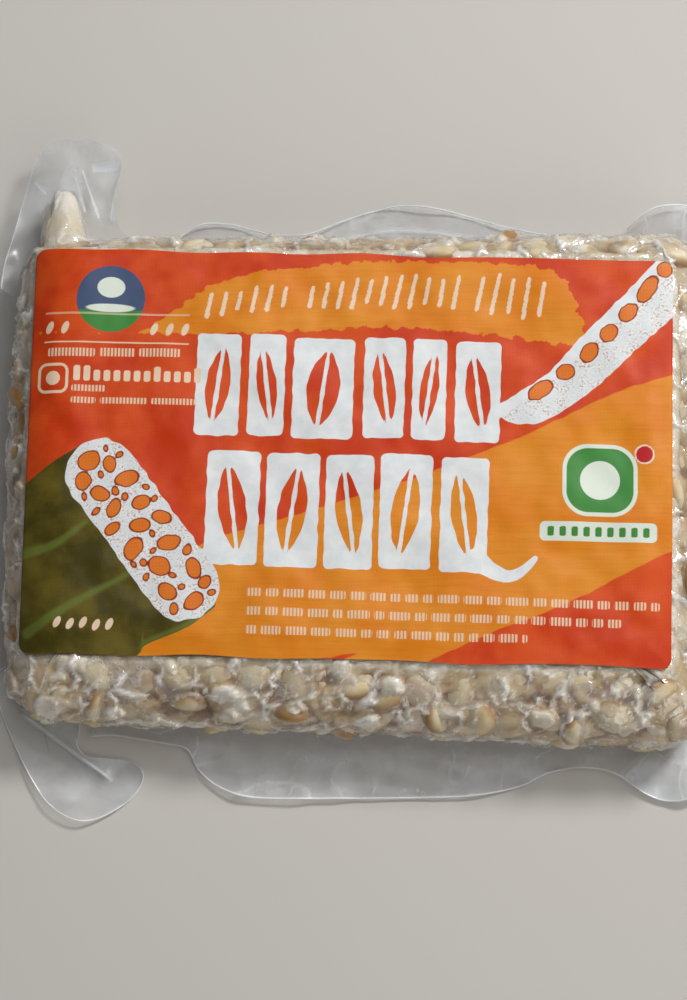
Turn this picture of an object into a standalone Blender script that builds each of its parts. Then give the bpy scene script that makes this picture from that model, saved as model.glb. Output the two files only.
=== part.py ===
"""A vacuum-packed tempeh cake: a slab of soybeans under shrunk clear film, its free film rim and
corner ears, and the large paper label stuck on its top.

Metres, +Z up. The origin is on the flat underside, at the middle of the slab; +X runs along the
slab's length and -Y points at its front. Angles go round the slab from +X towards +Y."""

import bpy
import numpy as np

MM = 0.001

# The slab, all in millimetres.
HALF_LENGTH = 64.6
HALF_WIDTH = 47.6
CORNER_RADIUS = 9.0
TIGHTEST_CORNER = 1.5
END_BULGE = 2.0
RIGHT_END_WIDENING = 0.032
HEIGHT = 18.5
CROWN = 0.5
BOTTOM_ROUND = 5.0
SHOULDER_DROP = 9.0
SHOULDER_LEFT = 14.0
SHOULDER_RIGHT = 10.0
SHOULDER_FRONT = 13.0
SHOULDER_BACK = 6.5
COLUMNS = 112

# The bean drawn out of the back left corner.
HORN_X = -57.0
HORN_HEIGHT = 8.0
HORN_REACH = 9.5
HORN_HALF_WIDTH = 4.2
HORN_HALF_DEPTH = 6.0
HORN_STARTS_AT_Y = 38.0
HORN_BLEND = 6.0

# Bean relief on the slab's sides and shoulders.
BEAN_SPACING = 7.0
BEAN_SPREAD = 3.0
BEAN_RISE = 1.2
UNDERSIDE_CLEAR = 3.0
RELIEF_BLEND = 2.0
LABEL_CLEAR = 1.0
RELIEF_SEED = 41

# The label.
LABEL_LENGTH = 119.6
LABEL_WIDTH = 76.6
LABEL_CORNER = 2.0
LABEL_CENTRE = (-2.0, 3.4)
LABEL_TURN_DEGREES = -0.4
LABEL_THICKNESS = 0.25
LABEL_ROWS = 18

# The film that stands clear of the slab.
FILM_THICKNESS = 0.5
FILM_GAP = 0.35
FILM_LOW = 0.4
LABEL_GAP = 0.35

# How far each free edge of film lifts, and the fold in the front left ear.
FRONT_RIM_LIFT = 1.1
BACK_RIM_LIFT = 1.3
FRONT_RIGHT_EAR_LIFT = 2.2
BACK_RIGHT_EAR_LIFT = 2.6
BACK_LEFT_EAR_LIFT = 3.2
BACK_LEFT_EAR_SAG = 1.0
FOLD_START = (-62.6, -43.8)
FOLD_RUN = (17.6, -12.4)
FOLD_HEIGHT = 1.3
FOLD_WIDTH = 2.2
FOLD_SPREAD = 0.012
TAIL_STARTS_AT_Y = -47.0
TAIL_BLEND = 6.0
TAIL_MIDDLE = (-57.0, -51.6)

CAKE_COLOUR = (0.52, 0.42, 0.28)
LABEL_COLOUR = (0.52, 0.09, 0.03)
FILM_COLOUR = (0.62, 0.63, 0.64)


def outline(inset, count):
    """Plan of the slab: a rounded rectangle whose sides move in by inset, its two ends bowed out
    and its right end a little wider. Returns count points, evenly spread along its length."""
    radius = max(CORNER_RADIUS - inset, TIGHTEST_CORNER)
    reach_x = HALF_LENGTH - inset - radius
    reach_y = HALF_WIDTH - inset - radius
    quarter = np.linspace(0.0, np.pi / 2, 13)
    corners = []
    for turn, (side_x, side_y) in enumerate(((1, 1), (-1, 1), (-1, -1), (1, -1))):
        angle = quarter + turn * np.pi / 2
        corners.append(
            np.stack(
                [
                    side_x * reach_x + radius * np.cos(angle),
                    side_y * reach_y + radius * np.sin(angle),
                ],
                axis=1,
            )
        )
    ring = np.concatenate(corners)
    start = np.array([[ring[0, 0], 0.0]])
    ring = np.concatenate([start, ring, start])
    length = np.concatenate([[0.0], np.cumsum(np.linalg.norm(np.diff(ring, axis=0), axis=1))])
    places = np.arange(count) / count * length[-1]
    x = np.interp(places, length, ring[:, 0])
    y = np.interp(places, length, ring[:, 1])
    bow = END_BULGE * (x / HALF_LENGTH) * (1.0 - (y / HALF_WIDTH) ** 2)
    widening = 1.0 + RIGHT_END_WIDENING * x / HALF_LENGTH
    return np.stack([x + bow, y * widening], axis=1)


EDGE = outline(0.0, 960)
EDGE_ALONG = np.roll(EDGE, -1, axis=0) - np.roll(EDGE, 1, axis=0)
EDGE_OUT = np.stack([EDGE_ALONG[:, 1], -EDGE_ALONG[:, 0]], axis=1)
EDGE_OUT /= np.linalg.norm(EDGE_OUT, axis=1, keepdims=True)


def shoulder_width(out):
    """Width of the rounded shoulder where the side faces out: each side's own width, weighted by
    the square of how much the side faces that way."""
    return (
        SHOULDER_LEFT * np.maximum(-out[:, 0], 0.0) ** 2
        + SHOULDER_RIGHT * np.maximum(out[:, 0], 0.0) ** 2
        + SHOULDER_FRONT * np.maximum(-out[:, 1], 0.0) ** 2
        + SHOULDER_BACK * np.maximum(out[:, 1], 0.0) ** 2
    )


def cover_height(xy):
    """Height of the slab's upper side over each point: a low crown with a slow swell, less a
    quarter ellipse that falls away over the shoulder. How far a point is over the shoulder is
    the fourth-power mean of how far it is over an end's and over a long side's."""
    x, y = xy[:, 0], xy[:, 1]
    swell = (
        0.22 * np.sin(x / 9.0 + 0.7) * np.cos(y / 11.0)
        + 0.16 * np.sin(y / 7.5 + x / 23.0)
        + 0.10 * np.cos(x / 5.2 - y / 13.0)
    )
    crown = HEIGHT - CROWN * ((x / HALF_LENGTH) ** 2 + (y / HALF_WIDTH) ** 2) / 2
    end_inset = HALF_LENGTH + END_BULGE * (1.0 - (y / HALF_WIDTH) ** 2) - np.abs(x)
    side_inset = HALF_WIDTH * (1.0 + RIGHT_END_WIDENING * x / HALF_LENGTH) - np.abs(y)
    over_end = np.clip(1.0 - end_inset / np.where(x < 0, SHOULDER_LEFT, SHOULDER_RIGHT), 0.0, 1.0)
    over_side = np.clip(1.0 - side_inset / np.where(y < 0, SHOULDER_FRONT, SHOULDER_BACK), 0.0, 1.0)
    over = np.minimum((over_end**4 + over_side**4) ** 0.25, 1.0)
    return crown + swell * (1.0 - over) - SHOULDER_DROP * (1.0 - np.sqrt(1.0 - over**2))


def horn_pull(x, y, z):
    """How far a point of the back side is drawn towards +Y: a blunt bell in x and in z, at the
    horn, which falls as the cube of the distance in its exponent."""
    away = np.hypot((x - HORN_X) / HORN_HALF_WIDTH, (z - HORN_HEIGHT) / HORN_HALF_DEPTH)
    return HORN_REACH * np.exp(-(away**3)) * np.clip((y - HORN_STARTS_AT_Y) / HORN_BLEND, 0.0, 1.0)


def smoothed(points, count):
    """count points, evenly spread along a smooth open curve through the given points."""
    points = np.array(points, dtype=float)
    padded = np.concatenate([2 * points[:1] - points[1:2], points, 2 * points[-1:] - points[-2:-1]])
    pieces = []
    step = np.linspace(0.0, 1.0, 16, endpoint=False)[:, None]
    for a, b, c, d in zip(padded, padded[1:], padded[2:], padded[3:]):
        pieces.append(
            0.5
            * (
                2 * b
                + (c - a) * step
                + (2 * a - 5 * b + 4 * c - d) * step**2
                + (3 * b - a - 3 * c + d) * step**3
            )
        )
    curve = np.concatenate(pieces + [points[-1:]])
    length = np.concatenate([[0.0], np.cumsum(np.linalg.norm(np.diff(curve, axis=0), axis=1))])
    places = np.linspace(0.0, length[-1], count)
    return np.stack([np.interp(places, length, curve[:, k]) for k in (0, 1)], axis=1)


def beside_slab(from_angle, to_angle, count, height, gap=FILM_GAP):
    """count points that follow the slab's side at a height, the film's gap clear of it, from one
    angle to another."""
    angle = np.unwrap(np.arctan2(EDGE[:, 1], EDGE[:, 0]))
    wanted = np.radians(np.linspace(from_angle, to_angle, count))
    edge = np.stack([np.interp(wanted, angle, EDGE[:, k]) for k in (0, 1)], axis=1)
    out = np.stack([np.interp(wanted, angle, EDGE_OUT[:, k]) for k in (0, 1)], axis=1)
    low = max(BOTTOM_ROUND - height, 0.0)
    under = BOTTOM_ROUND - np.sqrt(BOTTOM_ROUND**2 - low**2)
    beside = edge + out * (gap - under)
    beside[:, 1] += horn_pull(edge[:, 0], edge[:, 1], height)
    return beside


def new_object(name, points, faces, colour, roughness):
    """An object of these points, in millimetres, shaded smooth, with its own plain material."""
    mesh = bpy.data.meshes.new(name)
    mesh.from_pydata((np.asarray(points) * MM).tolist(), [], faces)
    mesh.validate()
    mesh.shade_smooth()
    mesh.set_sharp_from_angle(angle=np.radians(50.0))
    material = bpy.data.materials.new(name)
    material.use_nodes = True
    shader = material.node_tree.nodes["Principled BSDF"]
    shader.inputs["Base Color"].default_value = (*colour, 1.0)
    shader.inputs["Roughness"].default_value = roughness
    shader.inputs["Metallic"].default_value = 0.0
    material.diffuse_color = (*colour, 1.0)
    mesh.materials.append(material)
    made = bpy.data.objects.new(name, mesh)
    bpy.context.collection.objects.link(made)
    return made


def ring_faces(rings, columns):
    """Quads between neighbouring rings of points that close on themselves."""
    faces = []
    for ring in range(rings - 1):
        for column in range(columns):
            after = (column + 1) % columns
            low = ring * columns
            high = low + columns
            faces.append((low + column, low + after, high + after, high + column))
    return faces


def bean_relief(points, out):
    """Rises where beans press against the film: bells round seeded bean places on the sides and
    shoulders, none under the label or near the underside."""
    random = np.random.default_rng(RELIEF_SEED)
    order = random.permutation(len(points))
    beans = []
    for i in order:
        if all(np.linalg.norm(points[i] - points[j]) > BEAN_SPACING for j in beans):
            beans.append(i)
    rise = np.zeros(len(points))
    for i in beans:
        away = np.linalg.norm(points - points[i], axis=1)
        rise += random.uniform(0.5, 1.0) * np.exp(-((away / BEAN_SPREAD) ** 2))
    high = np.clip((points[:, 2] - UNDERSIDE_CLEAR) / RELIEF_BLEND, 0.0, 1.0)
    across = np.abs(points[:, :2] - np.array(LABEL_CENTRE)) - np.array([LABEL_LENGTH, LABEL_WIDTH]) / 2
    open_air = np.clip((np.max(across, axis=1) - LABEL_CLEAR) / RELIEF_BLEND, 0.0, 1.0)
    upper = points[:, 2] > HEIGHT - SHOULDER_DROP
    return points + out * (BEAN_RISE * rise * high * np.where(upper, open_air, 1.0))[:, None]


def make_cake():
    """The slab: rings from the flat underside round its lower edge, up the side, over the
    shoulder and in to the middle of the top."""
    arc = np.linspace(0.0, np.pi / 2, 5)
    rings = []
    edge = outline(0.0, COLUMNS)
    along = np.roll(edge, -1, axis=0) - np.roll(edge, 1, axis=0)
    out = np.stack([along[:, 1], -along[:, 0]], axis=1)
    out /= np.linalg.norm(out, axis=1, keepdims=True)
    for angle in arc:
        inset = BOTTOM_ROUND * (1.0 - np.sin(angle))
        height = BOTTOM_ROUND * (1.0 - np.cos(angle))
        ring = outline(inset, COLUMNS)
        rings.append(np.column_stack([ring, np.full(COLUMNS, height)]))
    side_height = HEIGHT - SHOULDER_DROP
    rings.append(np.column_stack([edge, (BOTTOM_ROUND + cover_height(edge)) / 2]))
    widest = shoulder_width(out)[:, None]
    inner = outline(SHOULDER_FRONT, COLUMNS)
    for angle in np.linspace(0.0, np.pi / 2, 9):
        part = 1.0 - np.cos(angle)
        ring = edge + (inner - edge) * part * widest / SHOULDER_FRONT
        rings.append(np.column_stack([ring, cover_height(ring)]))
    rim = rings[-1][:, :2]
    for share in (0.85, 0.68, 0.5, 0.32, 0.15):
        ring = rim * share
        rings.append(np.column_stack([ring, cover_height(ring)]))
    points = np.concatenate(rings)
    facing = np.tile(np.column_stack([out, np.zeros(COLUMNS)]), (len(rings), 1))
    shoulder = np.clip((points[:, 2] - side_height) / SHOULDER_DROP, 0.0, 1.0)
    facing = facing * (1.0 - shoulder)[:, None]
    facing[:, 2] = shoulder
    points = bean_relief(points, facing)
    points[:, 1] += horn_pull(points[:, 0], points[:, 1], points[:, 2])
    faces = ring_faces(len(rings), COLUMNS)
    middle = len(points)
    points = np.concatenate([points, [[0.0, 0.0, cover_height(np.zeros((1, 2)))[0]]]])
    last = (len(rings) - 1) * COLUMNS
    for column in range(COLUMNS):
        faces.append((last + column, last + (column + 1) % COLUMNS, middle))
    faces.append(tuple(reversed(range(COLUMNS))))
    return new_object("tempeh_cake", points, faces, CAKE_COLOUR, 0.45)


def make_label():
    """The label: a rounded rectangle laid on the slab's upper side, a hair above it, with the
    paper's thickness below its face."""
    over_shoulder = np.linspace(0.0, SHOULDER_LEFT, 9)
    along = np.concatenate([over_shoulder, np.linspace(SHOULDER_LEFT, LABEL_LENGTH, 23)[1:]])
    u = 2.0 * along / LABEL_LENGTH - 1.0
    edge_rows = np.array([0.0, 0.12, 0.4, 1.0]) * LABEL_CORNER
    inner_rows = np.linspace(LABEL_CORNER, LABEL_WIDTH - LABEL_CORNER, LABEL_ROWS - 6)[1:-1]
    rows = np.concatenate([edge_rows, inner_rows, LABEL_WIDTH - edge_rows[::-1]])
    to_edge = np.minimum(rows, LABEL_WIDTH - rows)
    cut = LABEL_CORNER - np.minimum(to_edge, LABEL_CORNER)
    pull_in = LABEL_CORNER - np.sqrt(LABEL_CORNER**2 - cut**2)
    x = (LABEL_LENGTH / 2 - pull_in)[:, None] * u[None, :]
    y = np.repeat((rows - LABEL_WIDTH / 2)[:, None], len(along), axis=1)
    turn = np.radians(LABEL_TURN_DEGREES)
    placed = np.stack(
        [
            x * np.cos(turn) - y * np.sin(turn) + LABEL_CENTRE[0],
            x * np.sin(turn) + y * np.cos(turn) + LABEL_CENTRE[1],
        ],
        axis=-1,
    )
    flat = placed.reshape(-1, 2)
    height = cover_height(flat)
    under = np.column_stack([flat, height + LABEL_GAP])
    over = np.column_stack([flat, height + LABEL_GAP + LABEL_THICKNESS])
    points, faces = sheet_solid(under, over, len(rows), len(along), False)
    return new_object("label", points, faces, LABEL_COLOUR, 0.4)


def sheet_solid(under, over, rows, columns, closed):
    """A closed thin solid from a grid of points below and the same grid above. A closed grid's
    columns join round, and its first row is one point."""
    count = rows * columns
    points = np.concatenate([under, over])
    faces = []
    spans = columns if closed else columns - 1
    for row in range(rows - 1):
        for column in range(spans):
            after = (column + 1) % columns
            a, b = row * columns + column, row * columns + after
            c, d = b + columns, a + columns
            faces.append((a + count, b + count, c + count, d + count))
            faces.append((d, c, b, a))
    rim = [(rows - 1) * columns + column for column in range(columns)][::-1]
    if not closed:
        rim += [row * columns for row in range(rows - 2, -1, -1)]
        rim += list(range(1, columns))
        rim += [row * columns + columns - 1 for row in range(1, rows - 1)]
    for a, b in zip(rim, rim[1:] + rim[:1]):
        faces.append((a, b, b + count, a + count))
    return points, faces


def turned_up(points, faces):
    """The same faces, all reversed if they enclose a negative volume."""
    volume = 0.0
    for face in faces:
        a = points[face[0]]
        for b, c in zip(face[1:], face[2:]):
            volume += np.dot(a, np.cross(points[b], points[c]))
    return faces if volume > 0 else [tuple(reversed(face)) for face in faces]


def ruled_film(name, inner, outer, lift, rows=4):
    """A film sheet spread on straight lines from an inner curve to an outer one. lift gives its
    height from the share of the way out and the share of the way along."""
    out = np.linspace(0.0, 1.0, rows)[:, None, None]
    grid = inner[None] * (1.0 - out) + outer[None] * out
    along = np.linspace(0.0, 1.0, len(inner))[None, :]
    height = lift(out[:, :, 0], along)
    flat = np.column_stack([grid.reshape(-1, 2), height.reshape(-1)])
    above = flat + np.array([0.0, 0.0, FILM_THICKNESS])
    points, faces = sheet_solid(flat, above, rows, len(inner), False)
    return new_object(name, points, turned_up(points, faces), FILM_COLOUR, 0.15)


def fanned_film(name, rim, middle, lift, rows=4):
    """A film sheet spread from a middle point to a closed rim, its height given by lift from the
    plan position."""
    out = (np.arange(1, rows + 1) / rows)[:, None, None]
    middle = np.array(middle)
    grid = (middle + (rim[None] - middle) * out).reshape(-1, 2)
    flat = np.column_stack([grid, lift(grid)])
    above = flat + np.array([0.0, 0.0, FILM_THICKNESS])
    points, faces = sheet_solid(flat, above, rows, len(rim), True)
    centre = np.array([[*middle, lift(middle[None])[0]]])
    low, high = len(points), len(points) + 1
    points = np.concatenate([points, centre, centre + [[0.0, 0.0, FILM_THICKNESS]]])
    count = rows * len(rim)
    for column in range(len(rim)):
        after = (column + 1) % len(rim)
        faces.append((low, column, after))
        faces.append((high, after + count, column + count))
    return new_object(name, points, turned_up(points, faces), FILM_COLOUR, 0.15)


def ripple(along, waves, phase):
    return 0.5 + 0.5 * np.sin(2 * np.pi * waves * along + phase)


def make_front_rim():
    """The long film rim along the front: a strip by the left ear that steps out to its full
    width and narrows again to the right."""
    inner = beside_slab(223.5, 313.9, 40, FILM_LOW + FILM_THICKNESS)
    outer = smoothed(
        [(-49.6, -47.9), (-45.4, -47.6), (-40.4, -48.3), (-35.4, -49.0), (-31.4, -50.0), (-28.8, -54.2),
         (-24.5, -57.3), (-18.0, -58.9), (-2.0, -58.7), (14.0, -58.2), (23.0, -57.6), (31.0, -55.8),
         (36.1, -53.3), (41.0, -52.2), (44.2, -52.1), (46.9, -52.4)],
        40,
    )
    return ruled_film(
        "film_rim_front", inner, outer,
        lambda out, along: FILM_LOW + FRONT_RIM_LIFT * out**2 * ripple(along, 3.2, 0.4),
    )


def make_back_rim():
    """The film rim behind the slab: a short lobe and a longer, wider one."""
    inner = beside_slab(127.0, 50.0, 34, FILM_LOW + FILM_THICKNESS)
    outer = smoothed(
        [(-35.8, 49.4), (-31.2, 52.1), (-25.2, 52.2), (-18.0, 50.4), (-11.0, 50.4), (-4.1, 53.4),
         (2.5, 55.7), (8.0, 56.6), (17.0, 55.6), (28.9, 52.4), (37.0, 51.0), (41.0, 50.8)],
        34,
    )
    return ruled_film(
        "film_rim_back", inner, outer,
        lambda out, along: FILM_LOW + BACK_RIM_LIFT * out**2 * ripple(along, 1.8, 1.2),
    )


def make_front_left_ear():
    """The film corner folded flat in front of the left corner, with a tail that curls back."""
    inner = beside_slab(222.0, 206.0, 12, FILM_LOW + FILM_THICKNESS)
    outer = smoothed(
        [(-68.0, -36.0), (-66.6, -43.0), (-62.8, -51.6), (-58.4, -58.9), (-54.6, -62.4), (-50.3, -63.8),
         (-45.8, -62.4), (-41.4, -59.2), (-39.3, -55.2), (-41.2, -52.6), (-46.0, -51.9), (-50.0, -51.5),
         (-51.9, -49.4), (-51.6, -47.6)],
        32,
    )

    def lift(xy):
        """A low ridge along the fold, from the slab's corner towards the tail."""
        side = np.array([-FOLD_RUN[1], FOLD_RUN[0]]) / np.hypot(*FOLD_RUN)
        across = (xy - np.array(FOLD_START)) @ side
        reach = np.clip((TAIL_STARTS_AT_Y - xy[:, 1]) / TAIL_BLEND, 0.0, 1.0)
        ridge = FOLD_HEIGHT * np.exp(-((across / FOLD_WIDTH) ** 2))
        return FILM_LOW + reach * (ridge + FOLD_SPREAD * across**2 * reach)

    rim = np.concatenate([inner[:-1], outer])
    return fanned_film("film_ear_front_left", rim, TAIL_MIDDLE, lift)


def make_front_right_ear():
    """The film corner that lies in front of the right corner and round to the right side."""
    inner = beside_slab(314.4, 333.0, 22, FILM_LOW + FILM_THICKNESS)
    outer = smoothed(
        [(47.4, -52.5), (49.8, -53.6), (52.4, -55.4), (54.8, -56.9), (58.2, -58.0), (62.5, -57.6),
         (67.6, -54.0), (71.0, -48.0), (71.4, -41.5), (69.4, -35.4)],
        22,
    )
    return ruled_film(
        "film_ear_front_right", inner, outer,
        lambda out, along: FILM_LOW + FRONT_RIGHT_EAR_LIFT * out**1.5 * ripple(along, 1.4, -0.6),
    )


def make_back_right_ear():
    """The small film corner behind the right corner."""
    inner = beside_slab(24.0, 45.0, 22, FILM_LOW + FILM_THICKNESS)
    outer = smoothed(
        [(69.2, 31.2), (71.4, 38.0), (72.4, 46.0), (70.0, 53.6), (64.0, 57.4), (57.0, 57.0), (51.0, 52.6)],
        22,
    )
    return ruled_film(
        "film_ear_back_right", inner, outer,
        lambda out, along: FILM_LOW + BACK_RIGHT_EAR_LIFT * out**1.5 * ripple(along, 1.2, 0.8),
    )


def make_back_left_ear():
    """The film corner that stands up round the horn behind the left corner."""
    height = HORN_HEIGHT - 1.0
    inner = beside_slab(134.0, 152.0, 30, height, FILM_GAP + BEAN_RISE)
    outer = smoothed(
        [(-48.6, 50.6), (-48.1, 53.6), (-47.0, 58.8), (-46.7, 61.8), (-47.9, 64.1), (-51.7, 66.1),
         (-56.3, 66.8), (-60.1, 66.3), (-62.5, 64.3), (-64.3, 59.6), (-66.3, 51.0), (-68.0, 43.1),
         (-68.7, 39.0), (-68.8, 36.4)],
        30,
    )
    return ruled_film(
        "film_ear_back_left", inner, outer,
        lambda out, along: height
        + out * (BACK_LEFT_EAR_LIFT * ripple(along, 1.0, 0.9) - BACK_LEFT_EAR_SAG),
    )


def main():
    for old in list(bpy.data.objects):
        bpy.data.objects.remove(old, do_unlink=True)
    make_cake()
    make_label()
    make_front_rim()
    make_back_rim()
    make_front_left_ear()
    make_front_right_ear()
    make_back_right_ear()
    make_back_left_ear()


main()
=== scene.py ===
"""Looks for the vacuum-packed tempeh cake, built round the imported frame.

Pieces: the white-moulded core of the cake, the soybeans set in it, the clear film shrunk over
them, the film's free rim and corner ears, and the printed paper label. Every piece is a grid
surface: its points are worked out as whole numpy arrays, in millimetres in the frame's own axes
(+X along the cake, +Y to its back, +Z up), and scaled to metres when the mesh is made."""

import bpy
import numpy as np
from mathutils import Matrix, Vector


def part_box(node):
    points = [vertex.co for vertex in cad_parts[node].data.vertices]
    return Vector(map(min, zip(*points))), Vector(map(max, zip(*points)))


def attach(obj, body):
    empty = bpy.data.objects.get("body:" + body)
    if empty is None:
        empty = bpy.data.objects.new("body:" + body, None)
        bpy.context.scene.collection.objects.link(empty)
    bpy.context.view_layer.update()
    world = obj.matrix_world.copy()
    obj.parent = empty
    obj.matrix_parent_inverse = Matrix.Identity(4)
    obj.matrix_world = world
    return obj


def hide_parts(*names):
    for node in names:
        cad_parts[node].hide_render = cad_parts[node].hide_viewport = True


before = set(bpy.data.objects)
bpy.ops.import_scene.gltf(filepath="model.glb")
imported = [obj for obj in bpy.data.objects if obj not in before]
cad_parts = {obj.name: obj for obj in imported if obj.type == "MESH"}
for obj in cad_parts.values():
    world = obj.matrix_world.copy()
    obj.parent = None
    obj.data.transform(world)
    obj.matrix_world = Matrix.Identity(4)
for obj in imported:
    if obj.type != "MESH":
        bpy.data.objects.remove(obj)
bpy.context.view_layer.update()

MM = 0.001
TURN = 2.0 * np.pi


def node_box(name):
    """A CAD node's lowest and highest corners, in millimetres."""
    low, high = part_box(name)
    return np.array(low) / MM, np.array(high) / MM


# The slab. Its sides, underside and shoulders repeat the frame's own sizes, in millimetres. Its
# horn reaches as far as the frame's, and is a little narrower and blunter.
HALF_LENGTH = 64.6
HALF_WIDTH = 47.6
CORNER_RADIUS = 9.0
TIGHTEST_CORNER = 1.5
END_BULGE = 2.0
RIGHT_END_WIDENING = 0.032
HEIGHT = 18.5
CROWN = 0.5
BOTTOM_ROUND = 5.0
SHOULDER_DROP = 9.0
SHOULDER_LEFT = 14.0
SHOULDER_RIGHT = 10.0
SHOULDER_FRONT = 13.0
SHOULDER_BACK = 6.5
HORN_X = -57.5
HORN_HEIGHT = 8.0
HORN_REACH = 9.5
HORN_HALF_WIDTH = 3.9
HORN_HALF_DEPTH = 6.0
HORN_STARTS_AT_Y = 38.0
HORN_BLEND = 6.0

# The beans and what holds them.
BEAN_SPACING = 6.1
BEAN_HALF_SIZES = (4.6, 3.6, 2.6)
BEAN_TRIES = 7000
BESIDE_LABEL_SINK = 0.5
HORN_ROOT_Y = 50.0
HORN_CLEAR = 8.5
HORN_COVER = 1.35
BEAN_SEED = 11
CORE_DEPTH = 1.5
CORNER_SINK = 1.0
CORNER_ALONG = (50.0, 56.0)
CORNER_ACROSS = (29.0, 35.0)
FILM_DIP = 0.65
FILM_OVER_BEAN = 0.28

# The label, in its own millimetres: u from its left edge, v up from its front edge.
LABEL_CORNER = 2.0
LABEL_TURN = np.radians(-0.4)
LABEL_LENGTH = 119.6
LABEL_WIDTH = 76.6
LABEL_LIFT = 0.36
PAPER_THICKNESS = 0.14
LABEL_STEP = 0.355
UNDERSIDE_DROP = 0.55
UNDERSIDE_BLEND = 1.6
NO_INK = -50.0

# Film that stands clear of the slab. FILM_TUCK is how far its inner edge lies from the slab's
# side: less than nought, so it starts inside.
PLY = 0.14
BEAD = 0.24
FILM_LOW = 0.45
FILM_TUCK = -1.2
# The horn ear's white creases, partly film whitening and partly painted highlight: start, end, half
# width and how white.
HORN_EAR_CREASES = (
    ((-54.2, 60.4), (-50.8, 51.1), 0.22, 1.0),
    ((-55.5, 59.0), (-53.5, 52.5), 0.28, 0.55),
    ((-63.3, 58.2), (-61.3, 55.9), 0.34, 0.60),
)


# ---------------------------------------------------------------- shapes as formulas


def waves(points, wavelength, seed, count=26):
    """Smooth uneven noise, mostly within -1 and 1: the scaled sum of sine waves that run in
    random directions, all about one wavelength long."""
    random = np.random.default_rng(seed)
    heading = random.normal(size=(count, points.shape[-1]))
    heading /= np.linalg.norm(heading, axis=1, keepdims=True)
    heading *= (TURN / wavelength) * random.uniform(0.7, 1.4, (count, 1))
    phase = random.uniform(0.0, TURN, count)
    total = np.zeros(points.shape[:-1])
    for k in range(count):
        total += np.sin(points @ heading[k] + phase[k])
    return total * np.sqrt(0.9 / count)


def smooth_step(value, low, high):
    """0 below low, 1 above high, and the cubic 3t^2 - 2t^3 between them."""
    t = np.clip((value - low) / (high - low), 0.0, 1.0)
    return t * t * (3.0 - 2.0 * t)


def bell(distance, width):
    """1 at no distance, falling as the exponent of minus its square in widths."""
    return np.exp(-((distance / width) ** 2))


def outline_columns(count):
    """Evenly spaced places round the slab's plan, a rounded rectangle: for each, the middle of
    the corner arc (or the foot on the straight side) and the direction it faces."""
    reach = np.array([HALF_LENGTH, HALF_WIDTH]) - CORNER_RADIUS
    angle = np.linspace(0.0, np.pi / 2, 40)
    feet, facing = [np.array([[reach[0], 0.0]])], [np.array([0.0])]
    for turn, side in enumerate(((1, 1), (-1, 1), (-1, -1), (1, -1))):
        feet.append(np.tile(reach * side, (len(angle), 1)))
        facing.append(angle + turn * np.pi / 2)
    feet.append(feet[0])
    facing.append(np.array([TURN]))
    feet, facing = np.concatenate(feet), np.concatenate(facing)
    ring = feet + CORNER_RADIUS * np.stack([np.cos(facing), np.sin(facing)], axis=1)
    length = np.concatenate([[0.0], np.cumsum(np.linalg.norm(np.diff(ring, axis=0), axis=1))])
    places = np.arange(count) / count * length[-1]
    foot = np.stack([np.interp(places, length, feet[:, k]) for k in (0, 1)], axis=1)
    turned = np.interp(places, length, facing)
    return foot, np.stack([np.cos(turned), np.sin(turned)], axis=1)


def ring_points(foot, facing, inset):
    """The slab's plan moved in by inset: corner arcs shrink to a small radius and the feet then
    slide in; last, the ends are bowed out and the right end is widened."""
    inset = np.asarray(inset)[..., None]
    radius = np.maximum(CORNER_RADIUS - inset, TIGHTEST_CORNER)
    reach = np.array([HALF_LENGTH, HALF_WIDTH]) - inset - radius
    xy = np.clip(foot, -reach, reach) + radius * facing
    x, y = xy[..., 0], xy[..., 1]
    bow = END_BULGE * (x / HALF_LENGTH) * (1.0 - (y / HALF_WIDTH) ** 2)
    return np.stack([x + bow, y * (1.0 + RIGHT_END_WIDENING * x / HALF_LENGTH)], axis=-1)


def cover_height(x, y):
    """Height of the slab's upper side: a low crown with a slow swell, less a quarter ellipse
    over the shoulders, whose share is the fourth-power mean of the end's and the side's."""
    swell = (
        0.22 * np.sin(x / 9.0 + 0.7) * np.cos(y / 11.0)
        + 0.16 * np.sin(y / 7.5 + x / 23.0)
        + 0.10 * np.cos(x / 5.2 - y / 13.0)
    )
    crown = HEIGHT - CROWN * ((x / HALF_LENGTH) ** 2 + (y / HALF_WIDTH) ** 2) / 2
    end_inset = HALF_LENGTH + END_BULGE * (1.0 - (y / HALF_WIDTH) ** 2) - np.abs(x)
    side_inset = HALF_WIDTH * (1.0 + RIGHT_END_WIDENING * x / HALF_LENGTH) - np.abs(y)
    over_end = np.clip(1.0 - end_inset / np.where(x < 0, SHOULDER_LEFT, SHOULDER_RIGHT), 0.0, 1.0)
    over_side = np.clip(1.0 - side_inset / np.where(y < 0, SHOULDER_FRONT, SHOULDER_BACK), 0.0, 1.0)
    over = np.minimum((over_end**4 + over_side**4) ** 0.25, 1.0)
    return crown + swell * (1.0 - over) - SHOULDER_DROP * (1.0 - np.sqrt(1.0 - over**2))


def horn_pull(points):
    """The back side drawn towards +Y into a blunt horn: by its reach, times a bell that falls as
    the fifth power of the distance from the horn's axis in its exponent."""
    x, y, z = np.moveaxis(points, -1, 0)
    away = np.hypot((x - HORN_X) / HORN_HALF_WIDTH, (z - HORN_HEIGHT) / HORN_HALF_DEPTH)
    at_back = np.clip((y - HORN_STARTS_AT_Y) / HORN_BLEND, 0.0, 1.0)
    pull = HORN_REACH * np.exp(-(away**5)) * at_back
    return np.stack([x, y + pull, z], axis=-1)


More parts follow.
